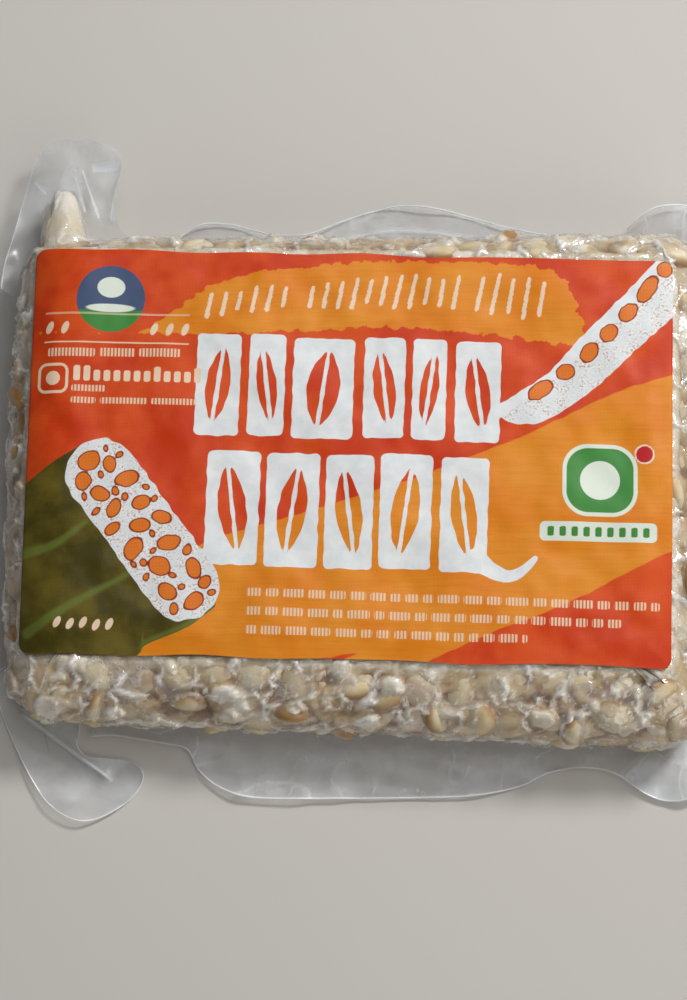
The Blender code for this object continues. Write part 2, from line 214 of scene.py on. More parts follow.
def slab_grid(columns, under_rows, round_rows, side_rows, shoulder_rows, top_rows):
    """The bare slab as rows of rings: out across the flat underside, round the lower edge, up
    the side, over the shoulder and in across the top. Rows by columns by xyz."""
    foot, facing = outline_columns(columns)
    widest = (
        SHOULDER_LEFT * np.maximum(-facing[:, 0], 0.0) ** 2
        + SHOULDER_RIGHT * np.maximum(facing[:, 0], 0.0) ** 2
        + SHOULDER_FRONT * np.maximum(-facing[:, 1], 0.0) ** 2
        + SHOULDER_BACK * np.maximum(facing[:, 1], 0.0) ** 2
    )
    edge = ring_points(foot, facing, np.zeros(columns))
    brim = cover_height(edge[:, 0], edge[:, 1])
    base = ring_points(foot, facing, np.full(columns, BOTTOM_ROUND))

    share = np.linspace(0.0, 1.0, under_rows + 1)[1:-1, None]
    under_xy = base[None] * share[..., None]
    under = np.concatenate([under_xy, np.zeros(under_xy.shape[:2] + (1,))], axis=-1)

    angle = np.linspace(0.0, np.pi / 2, round_rows)[:, None]
    inset = BOTTOM_ROUND * (1.0 - np.sin(angle)) * np.ones(columns)
    height = BOTTOM_ROUND * (1.0 - np.cos(angle)) * np.ones(columns)
    lower = np.concatenate([ring_points(foot, facing, inset), height[..., None]], axis=-1)

    share = np.linspace(0.0, 1.0, side_rows + 2)[1:-1, None]
    height = BOTTOM_ROUND + (brim - BOTTOM_ROUND) * share
    side_xy = np.repeat(edge[None], side_rows, axis=0)
    side = np.concatenate([side_xy, height[..., None]], axis=-1)

    angle = np.linspace(0.0, np.pi / 2, shoulder_rows)[:, None]
    over_xy = ring_points(foot, facing, (1.0 - np.cos(angle)) * widest)
    over = cover_height(over_xy[..., 0], over_xy[..., 1])
    shoulder = np.concatenate([over_xy, over[..., None]], axis=-1)

    share = np.linspace(1.0, 0.0, top_rows + 1)[1:-1, None]
    top_xy = over_xy[-1][None] * share[..., None]
    top = np.concatenate([top_xy, cover_height(top_xy[..., 0], top_xy[..., 1])[..., None]], axis=-1)
    return horn_pull(np.concatenate([under, lower, side, shoulder, top]))


def ring_normals(grid):
    """Outward directions of a grid of rings: the cross product of the step to the next column
    and the step to the next row."""
    along = np.roll(grid, -1, axis=1) - np.roll(grid, 1, axis=1)
    up = np.gradient(grid, axis=0)
    normal = np.cross(along, up)
    return normal / np.maximum(np.linalg.norm(normal, axis=-1, keepdims=True), 1e-9)


# ---------------------------------------------------------------- meshes


def new_piece(name, points, quads, triangles, material, values=None, uv=None):
    """A mesh object from points in millimetres and arrays of faces. values are float
    attributes, one number a point; uv is one pair a point."""
    mesh = bpy.data.meshes.new(name)
    quads = np.asarray(quads, dtype=np.int32).reshape(-1, 4)
    triangles = np.asarray(triangles, dtype=np.int32).reshape(-1, 3)
    corners = np.concatenate([quads.reshape(-1), triangles.reshape(-1)])
    sizes = np.concatenate([np.full(len(quads), 4), np.full(len(triangles), 3)])
    mesh.vertices.add(len(points))
    mesh.vertices.foreach_set("co", (points * MM).astype(np.float32).reshape(-1))
    mesh.loops.add(len(corners))
    mesh.loops.foreach_set("vertex_index", corners.astype(np.int32))
    mesh.polygons.add(len(sizes))
    starts = np.concatenate([[0], np.cumsum(sizes)[:-1]])
    mesh.polygons.foreach_set("loop_start", starts.astype(np.int32))
    for label, numbers in (values or {}).items():
        attribute = mesh.attributes.new(label, "FLOAT", "POINT")
        attribute.data.foreach_set("value", np.asarray(numbers, dtype=np.float32).reshape(-1))
    if uv is not None:
        layer = mesh.uv_layers.new(name="flat")
        layer.data.foreach_set("uv", uv[corners].astype(np.float32).reshape(-1))
    mesh.update(calc_edges=True)
    mesh.validate()
    mesh.shade_smooth()
    mesh.materials.append(material)
    piece = bpy.data.objects.new(name, mesh)
    bpy.context.collection.objects.link(piece)
    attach(piece, "root")
    return piece


def closed_rings(grid):
    """Points and faces of a stack of rings closed by one point at each end."""
    rows, columns = grid.shape[:2]
    index = np.arange(rows * columns).reshape(rows, columns)
    after = np.roll(index, -1, axis=1)
    quads = np.stack([index[:-1], after[:-1], after[1:], index[1:]], axis=-1).reshape(-1, 4)
    first, last = rows * columns, rows * columns + 1
    start = np.stack([after[0], index[0], np.full(columns, first)], axis=-1)
    end = np.stack([index[-1], after[-1], np.full(columns, last)], axis=-1)
    poles = np.stack([grid[0].mean(axis=0), grid[-1].mean(axis=0)])
    points = np.concatenate([grid.reshape(-1, 3), poles])
    return points, quads, np.concatenate([start, end])


def with_poles(field):
    """A grid's numbers as one list, with the mean of its first and last rows for the poles."""
    return np.concatenate([field.reshape(-1), [field[0].mean(), field[-1].mean()]])


def two_sided(under, over, closed):
    """Points and faces of a thin closed solid between two grids of points. A closed grid joins
    round its columns, and its first row is all one point."""
    rows, columns = under.shape[:2]
    lift = rows * columns
    index = np.arange(lift).reshape(rows, columns)
    if closed:
        index = np.concatenate([index, index[:, :1]], axis=1)
    a, b, c, d = index[:-1, :-1], index[:-1, 1:], index[1:, 1:], index[1:, :-1]
    lower = np.stack([a, d, c, b], axis=-1).reshape(-1, 4)
    upper = np.stack([a + lift, b + lift, c + lift, d + lift], axis=-1).reshape(-1, 4)
    rim = index[-1, ::-1]
    if not closed:
        rim = np.concatenate([rim, index[-2:0:-1, 0], index[0, :], index[1:-1, -1], rim[:1]])
    wall = np.stack([rim[:-1], rim[1:], rim[1:] + lift, rim[:-1] + lift], axis=-1)
    points = np.concatenate([under.reshape(-1, 3), over.reshape(-1, 3)])
    return points, np.concatenate([lower, upper, wall])


def faces_up(points, quads):
    """The same faces, turned round if the solid they close is inside out."""
    a, b, c, d = (points[quads[:, k]] for k in range(4))
    volume = np.einsum("ij,ij->", a, np.cross(b, c)) + np.einsum("ij,ij->", a, np.cross(c, d))
    return quads if volume > 0 else quads[:, ::-1]


# ---------------------------------------------------------------- materials


class Finish:
    """A node material built up from small steps."""

    def __init__(self, name):
        """An empty material with its output in place."""
        self.material = bpy.data.materials.new(name)
        self.material.use_nodes = True
        self.nodes = self.material.node_tree.nodes
        self.nodes.clear()
        self.output = self.nodes.new("ShaderNodeOutputMaterial")

    def link(self, source, target):
        """Joins an output to an input."""
        self.material.node_tree.links.new(source, target)

    def feed(self, value, socket):
        """Gives an input a linked output, a colour or vector, or a number."""
        if isinstance(value, bpy.types.NodeSocket):
            self.link(value, socket)
        elif isinstance(value, tuple):
            socket.default_value = (*value, 1.0) if len(socket.default_value) == 4 else value
        else:
            socket.default_value = value

    def value(self, name):
        """A number that the mesh carries at each point."""
        node = self.nodes.new("ShaderNodeAttribute")
        node.attribute_name = name
        return node.outputs["Fac"]

    def place(self, kind="Object"):
        """The place on the piece, in metres, or on the flat paper for kind "UV"."""
        return self.nodes.new("ShaderNodeTexCoord").outputs[kind]

    def math(self, operation, a, b=0.0, c=0.0):
        """One sum of up to three numbers."""
        node = self.nodes.new("ShaderNodeMath")
        node.operation = operation
        for value, socket in zip((a, b, c), node.inputs):
            self.feed(value, socket)
        return node.outputs[0]

    def fade(self, value, low, high, to_low=0.0, to_high=1.0):
        """A smooth change from to_low to to_high as the value goes from low to high."""
        node = self.nodes.new("ShaderNodeMapRange")
        node.interpolation_type = "SMOOTHSTEP"
        limits = {"From Min": low, "From Max": high, "To Min": to_low, "To Max": to_high}
        for name, number in limits.items():
            node.inputs[name].default_value = number
        self.feed(value, node.inputs["Value"])
        return node.outputs["Result"]

    def noise(self, scale, detail=4.0, where=None, roughness=0.55):
        """Cloudy noise from 0 to 1, finer as the scale grows."""
        node = self.nodes.new("ShaderNodeTexNoise")
        node.inputs["Scale"].default_value = scale
        node.inputs["Detail"].default_value = detail
        node.inputs["Roughness"].default_value = roughness
        self.feed(where or self.place(), node.inputs["Vector"])
        return node.outputs["Fac"]

    def blend(self, share, a, b, kind="MIX"):
        """Colour a turned into colour b by a share."""
        node = self.nodes.new("ShaderNodeMix")
        node.data_type = "RGBA"
        node.blend_type = kind
        self.feed(share, node.inputs[0])
        self.feed(a, node.inputs[6])
        self.feed(b, node.inputs[7])
        return node.outputs[2]

    def bump(self, height, distance, strength):
        """A surface direction roughened by a height, in metres at full strength."""
        node = self.nodes.new("ShaderNodeBump")
        node.inputs["Strength"].default_value = strength
        node.inputs["Distance"].default_value = distance
        self.feed(height, node.inputs["Height"])
        return node.outputs["Normal"]

    def surface(self, colour, roughness, normal=None, **extra):
        """An everyday surface, with any further input named in extra."""
        node = self.nodes.new("ShaderNodeBsdfPrincipled")
        self.feed(colour, node.inputs["Base Color"])
        self.feed(roughness, node.inputs["Roughness"])
        if normal is not None:
            self.link(normal, node.inputs["Normal"])
        for name, value in extra.items():
            self.feed(value, node.inputs[name.replace("_", " ")])
        return node.outputs[0]

    def shader(self, kind, colour, normal=None, **extra):
        """One plain kind of shader, such as clear or glossy."""
        node = self.nodes.new(kind)
        self.feed(colour, node.inputs["Color"])
        if normal is not None:
            self.link(normal, node.inputs["Normal"])
        for name, value in extra.items():
            self.feed(value, node.inputs[name.replace("_", " ")])
        return node.outputs[0]

    def mix(self, share, a, b):
        """Shader a turned into shader b by a share."""
        node = self.nodes.new("ShaderNodeMixShader")
        self.feed(share, node.inputs[0])
        self.link(a, node.inputs[1])
        self.link(b, node.inputs[2])
        return node.outputs[0]

    def brown_and_shade_left(self, colour):
        """The colour multiplied towards brown on the slab's left flank, by its place in x: partly
        the cake's browner side, partly painted shade.
        """
        split = self.nodes.new("ShaderNodeSeparateXYZ")
        self.link(self.place(), split.inputs[0])
        share = self.fade(split.outputs[0], -0.0642, -0.0602, 1.0, 0.0)
        return self.blend(share, colour, (0.62, 0.50, 0.38), "MULTIPLY")

    def finish(self, shader):
        """Puts the shader on the material and hands the material back."""
        self.link(shader, self.output.inputs["Surface"])
        return self.material


def srgb(red, green, blue):
    """A colour written in everyday 0 to 255 numbers, as the linear numbers that a shader takes."""
    part = np.array([red, green, blue]) / 255.0
    linear = np.where(part <= 0.04045, part / 12.92, ((part + 0.055) / 1.055) ** 2.4)
    return tuple(float(k) for k in linear)


def core_finish():
    """Mould-white cake: chalky white on the high threads, tan where it sinks, brown in crevices."""
    f = Finish("mould_white_core")
    depth = f.value("depth")
    grain = f.noise(420.0, 6.0)
    patch = f.noise(95.0, 3.0)
    white = f.blend(f.fade(patch, 0.35, 0.65), srgb(238, 232, 222), srgb(222, 208, 182))
    tan = f.blend(grain, srgb(186, 158, 112), srgb(206, 182, 140))
    brown = srgb(132, 92, 54)
    uneven = f.math("ADD", depth, f.math("MULTIPLY", f.math("SUBTRACT", grain, 0.5), 0.55))
    colour = f.blend(f.fade(uneven, -0.02, 0.40), brown, tan)
    colour = f.blend(f.fade(uneven, 0.40, 0.78), colour, white)
    # Painted shade, partly the cake's own browner side: darker brown on the left flank.
    colour = f.brown_and_shade_left(colour)
    normal = f.bump(grain, 0.00035, 0.7)
    return f.finish(f.surface(colour, 0.62, normal, Specular_IOR_Level=0.3))


def bean_finish():
    """Cooked soybean: cream on top, amber in the cleft between its halves, partly veiled by white
    mould, with painted shade in amber brown down its flanks towards the core."""
    f = Finish("soybean_cream")
    tone = f.value("tone")
    cleft = f.value("cleft")
    grain = f.noise(300.0, 4.0)
    veil = f.noise(170.0, 5.0)
    colour = f.blend(tone, srgb(208, 186, 142), srgb(228, 214, 180))
    colour = f.blend(f.fade(grain, 0.45, 0.85), colour, srgb(200, 174, 126))
    # Painted shade: amber brown down each bean's lower flank, where it meets the core.
    colour = f.blend(f.fade(f.value("flank"), 0.15, 1.0, 0.0, 0.85), colour, srgb(158, 112, 56))
    colour = f.blend(f.fade(cleft, 0.15, 0.85, 0.0, 0.9), colour, srgb(168, 112, 42))
    veiled = f.fade(f.value("veiled"), 0.1, 0.9, 0.25, 1.0)
    threads = f.math("MULTIPLY", f.fade(veil, 0.48, 0.68), veiled)
    colour = f.blend(threads, colour, srgb(236, 229, 216))
    # Painted shade, partly the cake's own browner side: darker brown on the left flank.
    colour = f.brown_and_shade_left(colour)
    normal = f.bump(grain, 0.0002, 0.5)
    return f.finish(
        f.surface(
            colour, 0.42, normal, Specular_IOR_Level=0.45,
            Subsurface_Weight=0.25, Subsurface_Radius=(0.002, 0.0012, 0.0006),
        )
    )


def film_finish(name, haze, tint, roughness, clear_share, shine_flat, wrinkle, lined):
    """Clear shrunk film: see-through, mirror-bright at glancing angles and on its folds, milky
    along creases and cut edges. The white of the creases and of a net of fine lines is partly film
    whitening and partly painted highlight."""
    f = Finish(name)
    fine = f.noise(900.0, 3.0)
    streak = f.noise(260.0, 5.0)
    drift = f.noise(115.0, 3.0)
    vein = f.math("ABSOLUTE", f.math("SUBTRACT", f.noise(200.0, 3.0), 0.5))
    # Painted highlight, partly film whitening: fine white lines where a noise crosses its middle,
    # in patches.
    patches = f.fade(f.noise(110.0, 2.0), 0.42, 0.58)
    lines = f.math("MULTIPLY", f.fade(vein, 0.0, 0.022, lined, 0.0), patches)
    crease = f.math("MAXIMUM", f.value("crease"), lines)
    height = f.math("ADD", f.math("MULTIPLY", streak, 0.8), f.math("MULTIPLY", fine, 0.2))
    height = f.math("ADD", height, f.math("MULTIPLY", lines, 0.5))
    normal = f.bump(height, wrinkle, 0.7)
    slant = f.nodes.new("ShaderNodeLayerWeight")
    slant.inputs["Blend"].default_value = 0.5
    f.link(normal, slant.inputs["Normal"])
    clear = f.shader("ShaderNodeBsdfTransparent", clear_share)
    gloss = f.shader("ShaderNodeBsdfGlossy", (1.0, 1.0, 1.0), normal, Roughness=roughness)
    # A white surface for film haze, and on creases and lines partly painted highlight.
    milk_and_highlight = f.surface(tint, 0.35, normal)
    shine = f.math("MULTIPLY_ADD", f.math("POWER", slant.outputs["Facing"], 5.0), 0.6, shine_flat)
    cloud = f.math("MULTIPLY_ADD", f.fade(drift, 0.46, 0.66), haze * 1.5, haze * 0.55)
    milky = f.math("MINIMUM", f.math("ADD", cloud, f.math("MULTIPLY", crease, 0.85)), 0.95)
    see = f.mix(milky, clear, milk_and_highlight)
    return f.finish(f.mix(shine, see, gloss))


# ---------------------------------------------------------------- the cake


def inside_label(x, y):
    """How far inside the label's plan a place is, in millimetres; negative outside it."""
    low, high = node_box("label")
    return np.minimum.reduce([x - low[0], high[0] - x, y - low[1], high[1] - y])


def kept_under_label(rise, grid, edge_rise, sunk):
    """The same rise, held down to edge_rise by the label's edge and to sunk under its paper."""
    inside = inside_label(grid[..., 0], grid[..., 1])
    held = np.minimum(rise, edge_rise + 1.6 * smooth_step(-inside, 0.0, 2.2))
    covered = smooth_step(inside, 0.4, 1.8)
    topside = grid[..., 2] > HEIGHT - SHOULDER_DROP
    return np.where(topside, held * (1.0 - covered) + sunk * covered, rise)


def bean_layout():
    """Seeded places on the slab for beans, taken in shuffled order and kept where no bean yet
    kept is closer than their spacing. None is under the label, on the horn or on the underside.
    For each: its point, the way out, its heading, how high its top stands against the slab's
    surface, and how much mould covers it."""
    grid = slab_grid(520, 3, 10, 8, 22, 30)
    normal = ring_normals(grid)
    flat, out = grid.reshape(-1, 3), normal.reshape(-1, 3)
    usable = (flat[:, 2] > 1.6) & (inside_label(flat[:, 0], flat[:, 1]) < -0.8)
    usable &= np.hypot(flat[:, 0] - HORN_X, flat[:, 1] - HORN_ROOT_Y) > HORN_CLEAR
    flat, out = flat[usable], out[usable]
    random = np.random.default_rng(BEAN_SEED)
    order = random.permutation(len(flat))[:BEAN_TRIES]
    kept = np.empty((0, 3))
    chosen = []
    for i in order:
        if len(kept) == 0 or np.min(np.sum((kept - flat[i]) ** 2, axis=1)) > BEAN_SPACING**2:
            chosen.append(i)
            kept = np.concatenate([kept, flat[i : i + 1]])
    place, out = flat[chosen], out[chosen]
    heading = random.normal(size=place.shape)
    heading -= out * np.sum(heading * out, axis=1, keepdims=True)
    heading /= np.linalg.norm(heading, axis=1, keepdims=True)
    stand = random.uniform(-1.15, -0.05, len(place))
    beside = smooth_step(inside_label(place[:, 0], place[:, 1]), -4.5, -1.5)
    stand = stand - BESIDE_LABEL_SINK * beside * (place[:, 2] > HEIGHT - SHOULDER_DROP)
    veiled = random.uniform(0.0, 1.0, len(place)) ** 1.3
    return place, out, heading, stand, veiled


def nearest_beans(points, places):
    """Distance to the nearest and the second nearest bean of each point, and which is nearest."""
    flat = points.reshape(-1, 3).astype(np.float32)
    first = np.empty(len(flat))
    second = np.empty(len(flat))
    which = np.empty(len(flat), dtype=int)
    squares = np.sum(places**2, axis=1)
    for start in range(0, len(flat), 8192):
        part = flat[start : start + 8192]
        away = np.sum(part**2, axis=1)[:, None] + squares[None] - 2.0 * part @ places.T
        away = np.sqrt(np.maximum(away, 0.0))
        which[start : start + 8192] = np.argmin(away, axis=1)
        pair = np.partition(away, 1, axis=1)[:, :2]
        first[start : start + 8192], second[start : start + 8192] = pair[:, 0], pair[:, 1]
    shape = points.shape[:-1]
    return first.reshape(shape), second.reshape(shape), which.reshape(shape)


def kept_at_corners(rise, grid):
    """The same rise, with hollows no deeper than CORNER_SINK where the slab turns its upright
    corners: its rings are tight there, and deeper hollows would cross each other."""
    along = smooth_step(np.abs(grid[..., 0]), *CORNER_ALONG)
    across = smooth_step(np.abs(grid[..., 1]), *CORNER_ACROSS)
    return np.maximum(rise, -CORNER_SINK - CORE_DEPTH * 2.0 * (1.0 - along * across))


def core_rise(points, first, which, stand, veiled):
    """How far the mould core stands out from the slab's surface: a sunk base with uneven noise,
    sunk further in seeded pits, and raised by whichever is higher of a bell round each bean, by
    as much as that bean is veiled, and seeded lumps of mould. It stays nearly level with the
    surface beside the label and on the horn."""
    rough = (
        0.42 * waves(points, 5.5, 21)
        + 0.26 * waves(points, 2.6, 22)
        + 0.14 * waves(points, 1.3, 23)
    )
    cover = (CORE_DEPTH + stand[which] + 0.25) * (0.25 + 0.85 * veiled[which])
    lump = 1.25 * smooth_step(waves(points, 7.5, 25), 0.25, 1.1)
    pit = 0.8 * smooth_step(waves(points, 6.0, 26), 0.3, 1.2)
    rise = -CORE_DEPTH - pit + 0.6 * rough + np.maximum(cover * bell(first, 3.6), lump)
    to_label = smooth_step(inside_label(points[..., 0], points[..., 1]), -4.5, -0.5)
    to_label = to_label * (points[..., 2] > HEIGHT - SHOULDER_DROP)
    rise = np.maximum(rise, -0.6 - 2.6 * (1.0 - to_label) + 0.35 * rough)
    to_horn = np.hypot(points[..., 0] - HORN_X, points[..., 1] - HORN_ROOT_Y)
    on_horn = 1.0 - smooth_step(to_horn, HORN_CLEAR - 3.0, HORN_CLEAR)
    cover = (HORN_COVER - CORE_DEPTH + 0.25 * rough) * on_horn - 3.2 * (1.0 - on_horn)
    return np.maximum(rise, cover)


def make_core(beans):
    """The mould-bound core: the slab's grid moved out or in by the core's rise."""
    place, _, _, stand, veiled = beans
    grid = slab_grid(720, 16, 14, 10, 30, 12)
    normal = ring_normals(grid)
    first, _, which = nearest_beans(grid, place)
    rise = core_rise(grid, first, which, stand, veiled)
    rise = kept_at_corners(kept_under_label(rise, grid, 0.0, -2.2), grid)
    flat_foot = smooth_step(grid[..., 2], 0.0, 2.5)
    rise = rise * flat_foot + (-0.5 + 0.25 * waves(grid, 3.0, 24)) * (1.0 - flat_foot)
    moved = grid + normal * rise[..., None]
    moved[..., 2] = np.maximum(moved[..., 2], 0.12)
    depth = np.clip((rise + CORE_DEPTH + 0.2) / (CORE_DEPTH + 0.1), 0.0, 1.0)
    points, quads, triangles = closed_rings(moved)
    piece = new_piece(
        "mould_core", points, quads, triangles, core_finish(), {"depth": with_poles(depth)}
    )
    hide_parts("tempeh_cake")
    return piece


def make_beans(beans):
    """All soybeans as one mesh. Each is a sphere grid stretched to three half sizes, with a
    shallow cleft along its length: the height drops by a narrow bell across the middle."""
    place, out, heading, stand, veiled = beans
    count = len(place)
    random = np.random.default_rng(BEAN_SEED + 1)
    around, along = 14, 9
    turn = np.linspace(0.0, TURN, around, endpoint=False)[None, :]
    lean = (np.arange(1, along + 1) / (along + 1) * np.pi)[:, None]
    x = -np.cos(lean) * np.ones_like(turn)
    y = np.sin(lean) * np.cos(turn)
    z = np.sin(lean) * np.sin(turn)
    ball = np.stack([x, y, z], axis=-1).reshape(-1, 3)
    ball = np.concatenate([ball, [[-1.0, 0.0, 0.0], [1.0, 0.0, 0.0]]])
    size = np.array(BEAN_HALF_SIZES) * random.uniform(0.86, 1.14, (count, 3))
    side = np.cross(out, heading)
    roll = random.normal(0.0, 0.5, count)[:, None]
    up = out * np.cos(roll) + side * np.sin(roll)
    across = np.cross(up, heading)
    crease = bell(ball[:, 1], 0.30) * np.maximum(ball[:, 2], 0.0)
    deep = random.uniform(0.05, 0.22, count)
    shape = ball[None] * size[:, None, :]
    shape[..., 2] -= crease[None] * deep[:, None] * size[:, 2:3]
    shape[..., 2] += 0.10 * shape[..., 0] ** 2 / size[:, :1] * random.normal(0.0, 0.5, (count, 1))
    centre = place + out * (stand - size[:, 2] * 0.95)[:, None]
    points = (
        centre[:, None]
        + shape[..., :1] * heading[:, None]
        + shape[..., 1:2] * across[:, None]
        + shape[..., 2:] * up[:, None]
    )
    points[..., 2] = np.maximum(points[..., 2], 0.3)
    index = np.arange(along * around).reshape(along, around)
    after = np.roll(index, -1, axis=1)
    quads = np.stack([index[:-1], index[1:], after[1:], after[:-1]], axis=-1).reshape(-1, 4)
    start, end = along * around, along * around + 1
    caps = np.concatenate(
        [
            np.stack([index[0], after[0], np.full(around, start)], axis=-1),
            np.stack([after[-1], index[-1], np.full(around, end)], axis=-1),
        ]
    )
    step = (np.arange(count) * len(ball))[:, None, None]
    quads = (quads[None] + step).reshape(-1, 4)
    caps = (caps[None] + step).reshape(-1, 3)
    opened = np.where(random.uniform(size=count) < 0.6, 1.0, 0.25)
    cleft = crease[None] * opened[:, None]
    # Painted shade: how far down its flank, towards the core, each point of a bean lies; weaker on
    # beans low on the sides.
    flank = np.repeat(1.0 - smooth_step(ball[None, :, 2], 0.05, 0.85), count, axis=0)
    flank = flank * (0.15 + 0.85 * smooth_step(place[:, 2:], 3.0, 8.0))
    tone = np.repeat(random.uniform(0.0, 1.0, count)[:, None], len(ball), axis=1)
    cover = np.repeat(veiled[:, None], len(ball), axis=1)
    piece = new_piece(
        "soybeans", points.reshape(-1, 3), quads, caps, bean_finish(),
        {"cleft": cleft, "flank": flank, "tone": tone, "veiled": cover},
    )
    return piece


def make_skin(beans):
    """The film shrunk on to the cake: it stands just over each bean, dips between them, and
    puckers into thin raised folds along the borders between neighbouring beans."""
    place, _, _, stand, veiled = beans
    grid = slab_grid(880, 14, 15, 12, 40, 14)
    normal = ring_normals(grid)
    wander = np.stack([waves(grid, 4.0, seed) for seed in (31, 32, 33)], axis=-1) * 0.8
    first, _, which = nearest_beans(grid, place)
    core = core_rise(grid, first, which, stand, veiled)
    tent = -FILM_DIP + (stand[which] + FILM_OVER_BEAN + FILM_DIP) * bell(first, 3.5)
    rise = np.maximum(tent + 0.10 * waves(grid, 9.0, 34), core + 0.12)
    near, far, _ = nearest_beans(grid + wander, place)
    border = (far - near) / 2.0
    lively = smooth_step(waves(grid, 7.0, 35), -0.5, 0.35)
    fold = bell(border, 0.34) * lively
    pleat = np.maximum(1.0 - np.abs(waves(grid + 0.6 * wander, 3.4, 36)) * 3.2, 0.0) ** 2
    pleat *= smooth_step(waves(grid, 6.0, 37), -0.1, 0.6)
    rise = rise + 0.55 * fold + 0.34 * pleat
    rise = kept_under_label(rise, grid, 0.12, -0.95)
    inside = inside_label(grid[..., 0], grid[..., 1])
    topside = grid[..., 2] > HEIGHT - SHOULDER_DROP
    shown = np.where(topside, 1.0 - smooth_step(inside, 0.0, 1.0), 1.0)
    flat_foot = smooth_step(grid[..., 2], 0.0, 2.5)
    rise = rise * flat_foot - (0.12 - 0.10 * pleat) * (1.0 - flat_foot)
    moved = grid + normal * rise[..., None]
    moved[..., 2] = np.maximum(moved[..., 2], 0.02)
    # White along folds and pleats: partly film whitening, partly painted highlight.
    crease = np.clip(0.8 * fold + 0.85 * pleat, 0.0, 1.0) * shown * flat_foot
    points, quads, triangles = closed_rings(moved)
    material = film_finish(
        "shrunk_film", 0.15, srgb(242, 238, 230), 0.12, (0.985, 0.985, 0.98), 0.085, 0.0004, 0.25
    )
    values = {"crease": with_poles(crease)}
    piece = new_piece("film_skin", points, quads, triangles, material, values)
    return piece


# ---------------------------------------------------------------- free film


def smoothed(points, count):
    """count points, evenly spread along a smooth open curve through the given ones: each stretch
    is the Catmull-Rom cubic of its two ends and their neighbours."""
    points = np.array(points, dtype=float)
    padded = np.concatenate([2 * points[:1] - points[1:2], points, 2 * points[-1:] - points[-2:-1]])
    a, b, c, d = (padded[k : len(padded) - 3 + k, None] for k in range(4))
    t = np.linspace(0.0, 1.0, 24, endpoint=False)[None, :, None]
    curve = 0.5 * (
        2 * b + (c - a) * t + (2 * a - 5 * b + 4 * c - d) * t**2 + (3 * b - a - 3 * c + d) * t**3
    )
    curve = np.concatenate([curve.reshape(-1, points.shape[1]), points[-1:]])
    length = np.concatenate([[0.0], np.cumsum(np.linalg.norm(np.diff(curve, axis=0), axis=1))])
    places = np.linspace(0.0, length[-1], count)
    axes = range(points.shape[1])
    return np.stack([np.interp(places, length, curve[:, k]) for k in axes], axis=1)


def beside_slab(from_angle, to_angle, count, height, gap):
    """count points along the slab's side at a height and a gap from it, between two angles."""
    foot, facing = outline_columns(1440)
    edge = ring_points(foot, facing, np.zeros(1440))
    angle = np.unwrap(np.arctan2(edge[:, 1], edge[:, 0]))
    wanted = np.radians(np.linspace(from_angle, to_angle, count))
    low = max(BOTTOM_ROUND - height, 0.0)
    under = BOTTOM_ROUND - np.sqrt(BOTTOM_ROUND**2 - low**2)
    beside = np.concatenate([edge + facing * (gap - under), np.full((1440, 1), height)], axis=1)
    beside = horn_pull(beside)[:, :2]
    return np.stack([np.interp(wanted, angle, beside[:, k]) for k in (0, 1)], axis=1)


def spread(rows):
    """Shares of the way out, close together near the outer edge, where the sealed bead is."""
    body = np.linspace(0.0, 0.965, rows - 4)
    return np.concatenate([body, [0.975, 0.985, 0.994, 1.0]])


def on_plane(xy):
    """The plan places as points at height nought, which the noise is read at."""
    return np.concatenate([xy, np.zeros(xy.shape[:2] + (1,))], axis=-1)


def film_piece(name, xy, height, crease, closed, nodes, material, edge_white=1.1):
    """A free film sheet from its plan grid and heights: two faces one ply apart, thickened into a
    rounded bead along the outer edge."""
    out = np.linalg.norm(xy - xy[-1:], axis=-1)
    bead = np.sqrt(np.clip(1.0 - ((out - BEAD / 2) / (BEAD / 2)) ** 2, 0.0, 1.0)) * BEAD
    thick = np.maximum(bead, PLY)
    under = np.concatenate([xy, (height - thick / 2)[..., None]], axis=-1)
    over = np.concatenate([xy, (height + thick / 2)[..., None]], axis=-1)
    points, quads = two_sided(under, over, closed)
    white = np.clip(crease + edge_white * (out < BEAD * 1.05), 0.0, 1.0)
    values = {"crease": np.concatenate([white.reshape(-1), white.reshape(-1)])}
    piece = new_piece(name, points, faces_up(points, quads), [], material, values)
    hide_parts(*nodes)
    return piece


def ruled_grid(inner, outer, rows):
    """Straight lines from an inner curve to an outer one: rows out by columns along, by xy."""
    share = spread(rows)[:, None, None]
    return inner[None] * (1.0 - share) + outer[None] * share, share[..., 0]


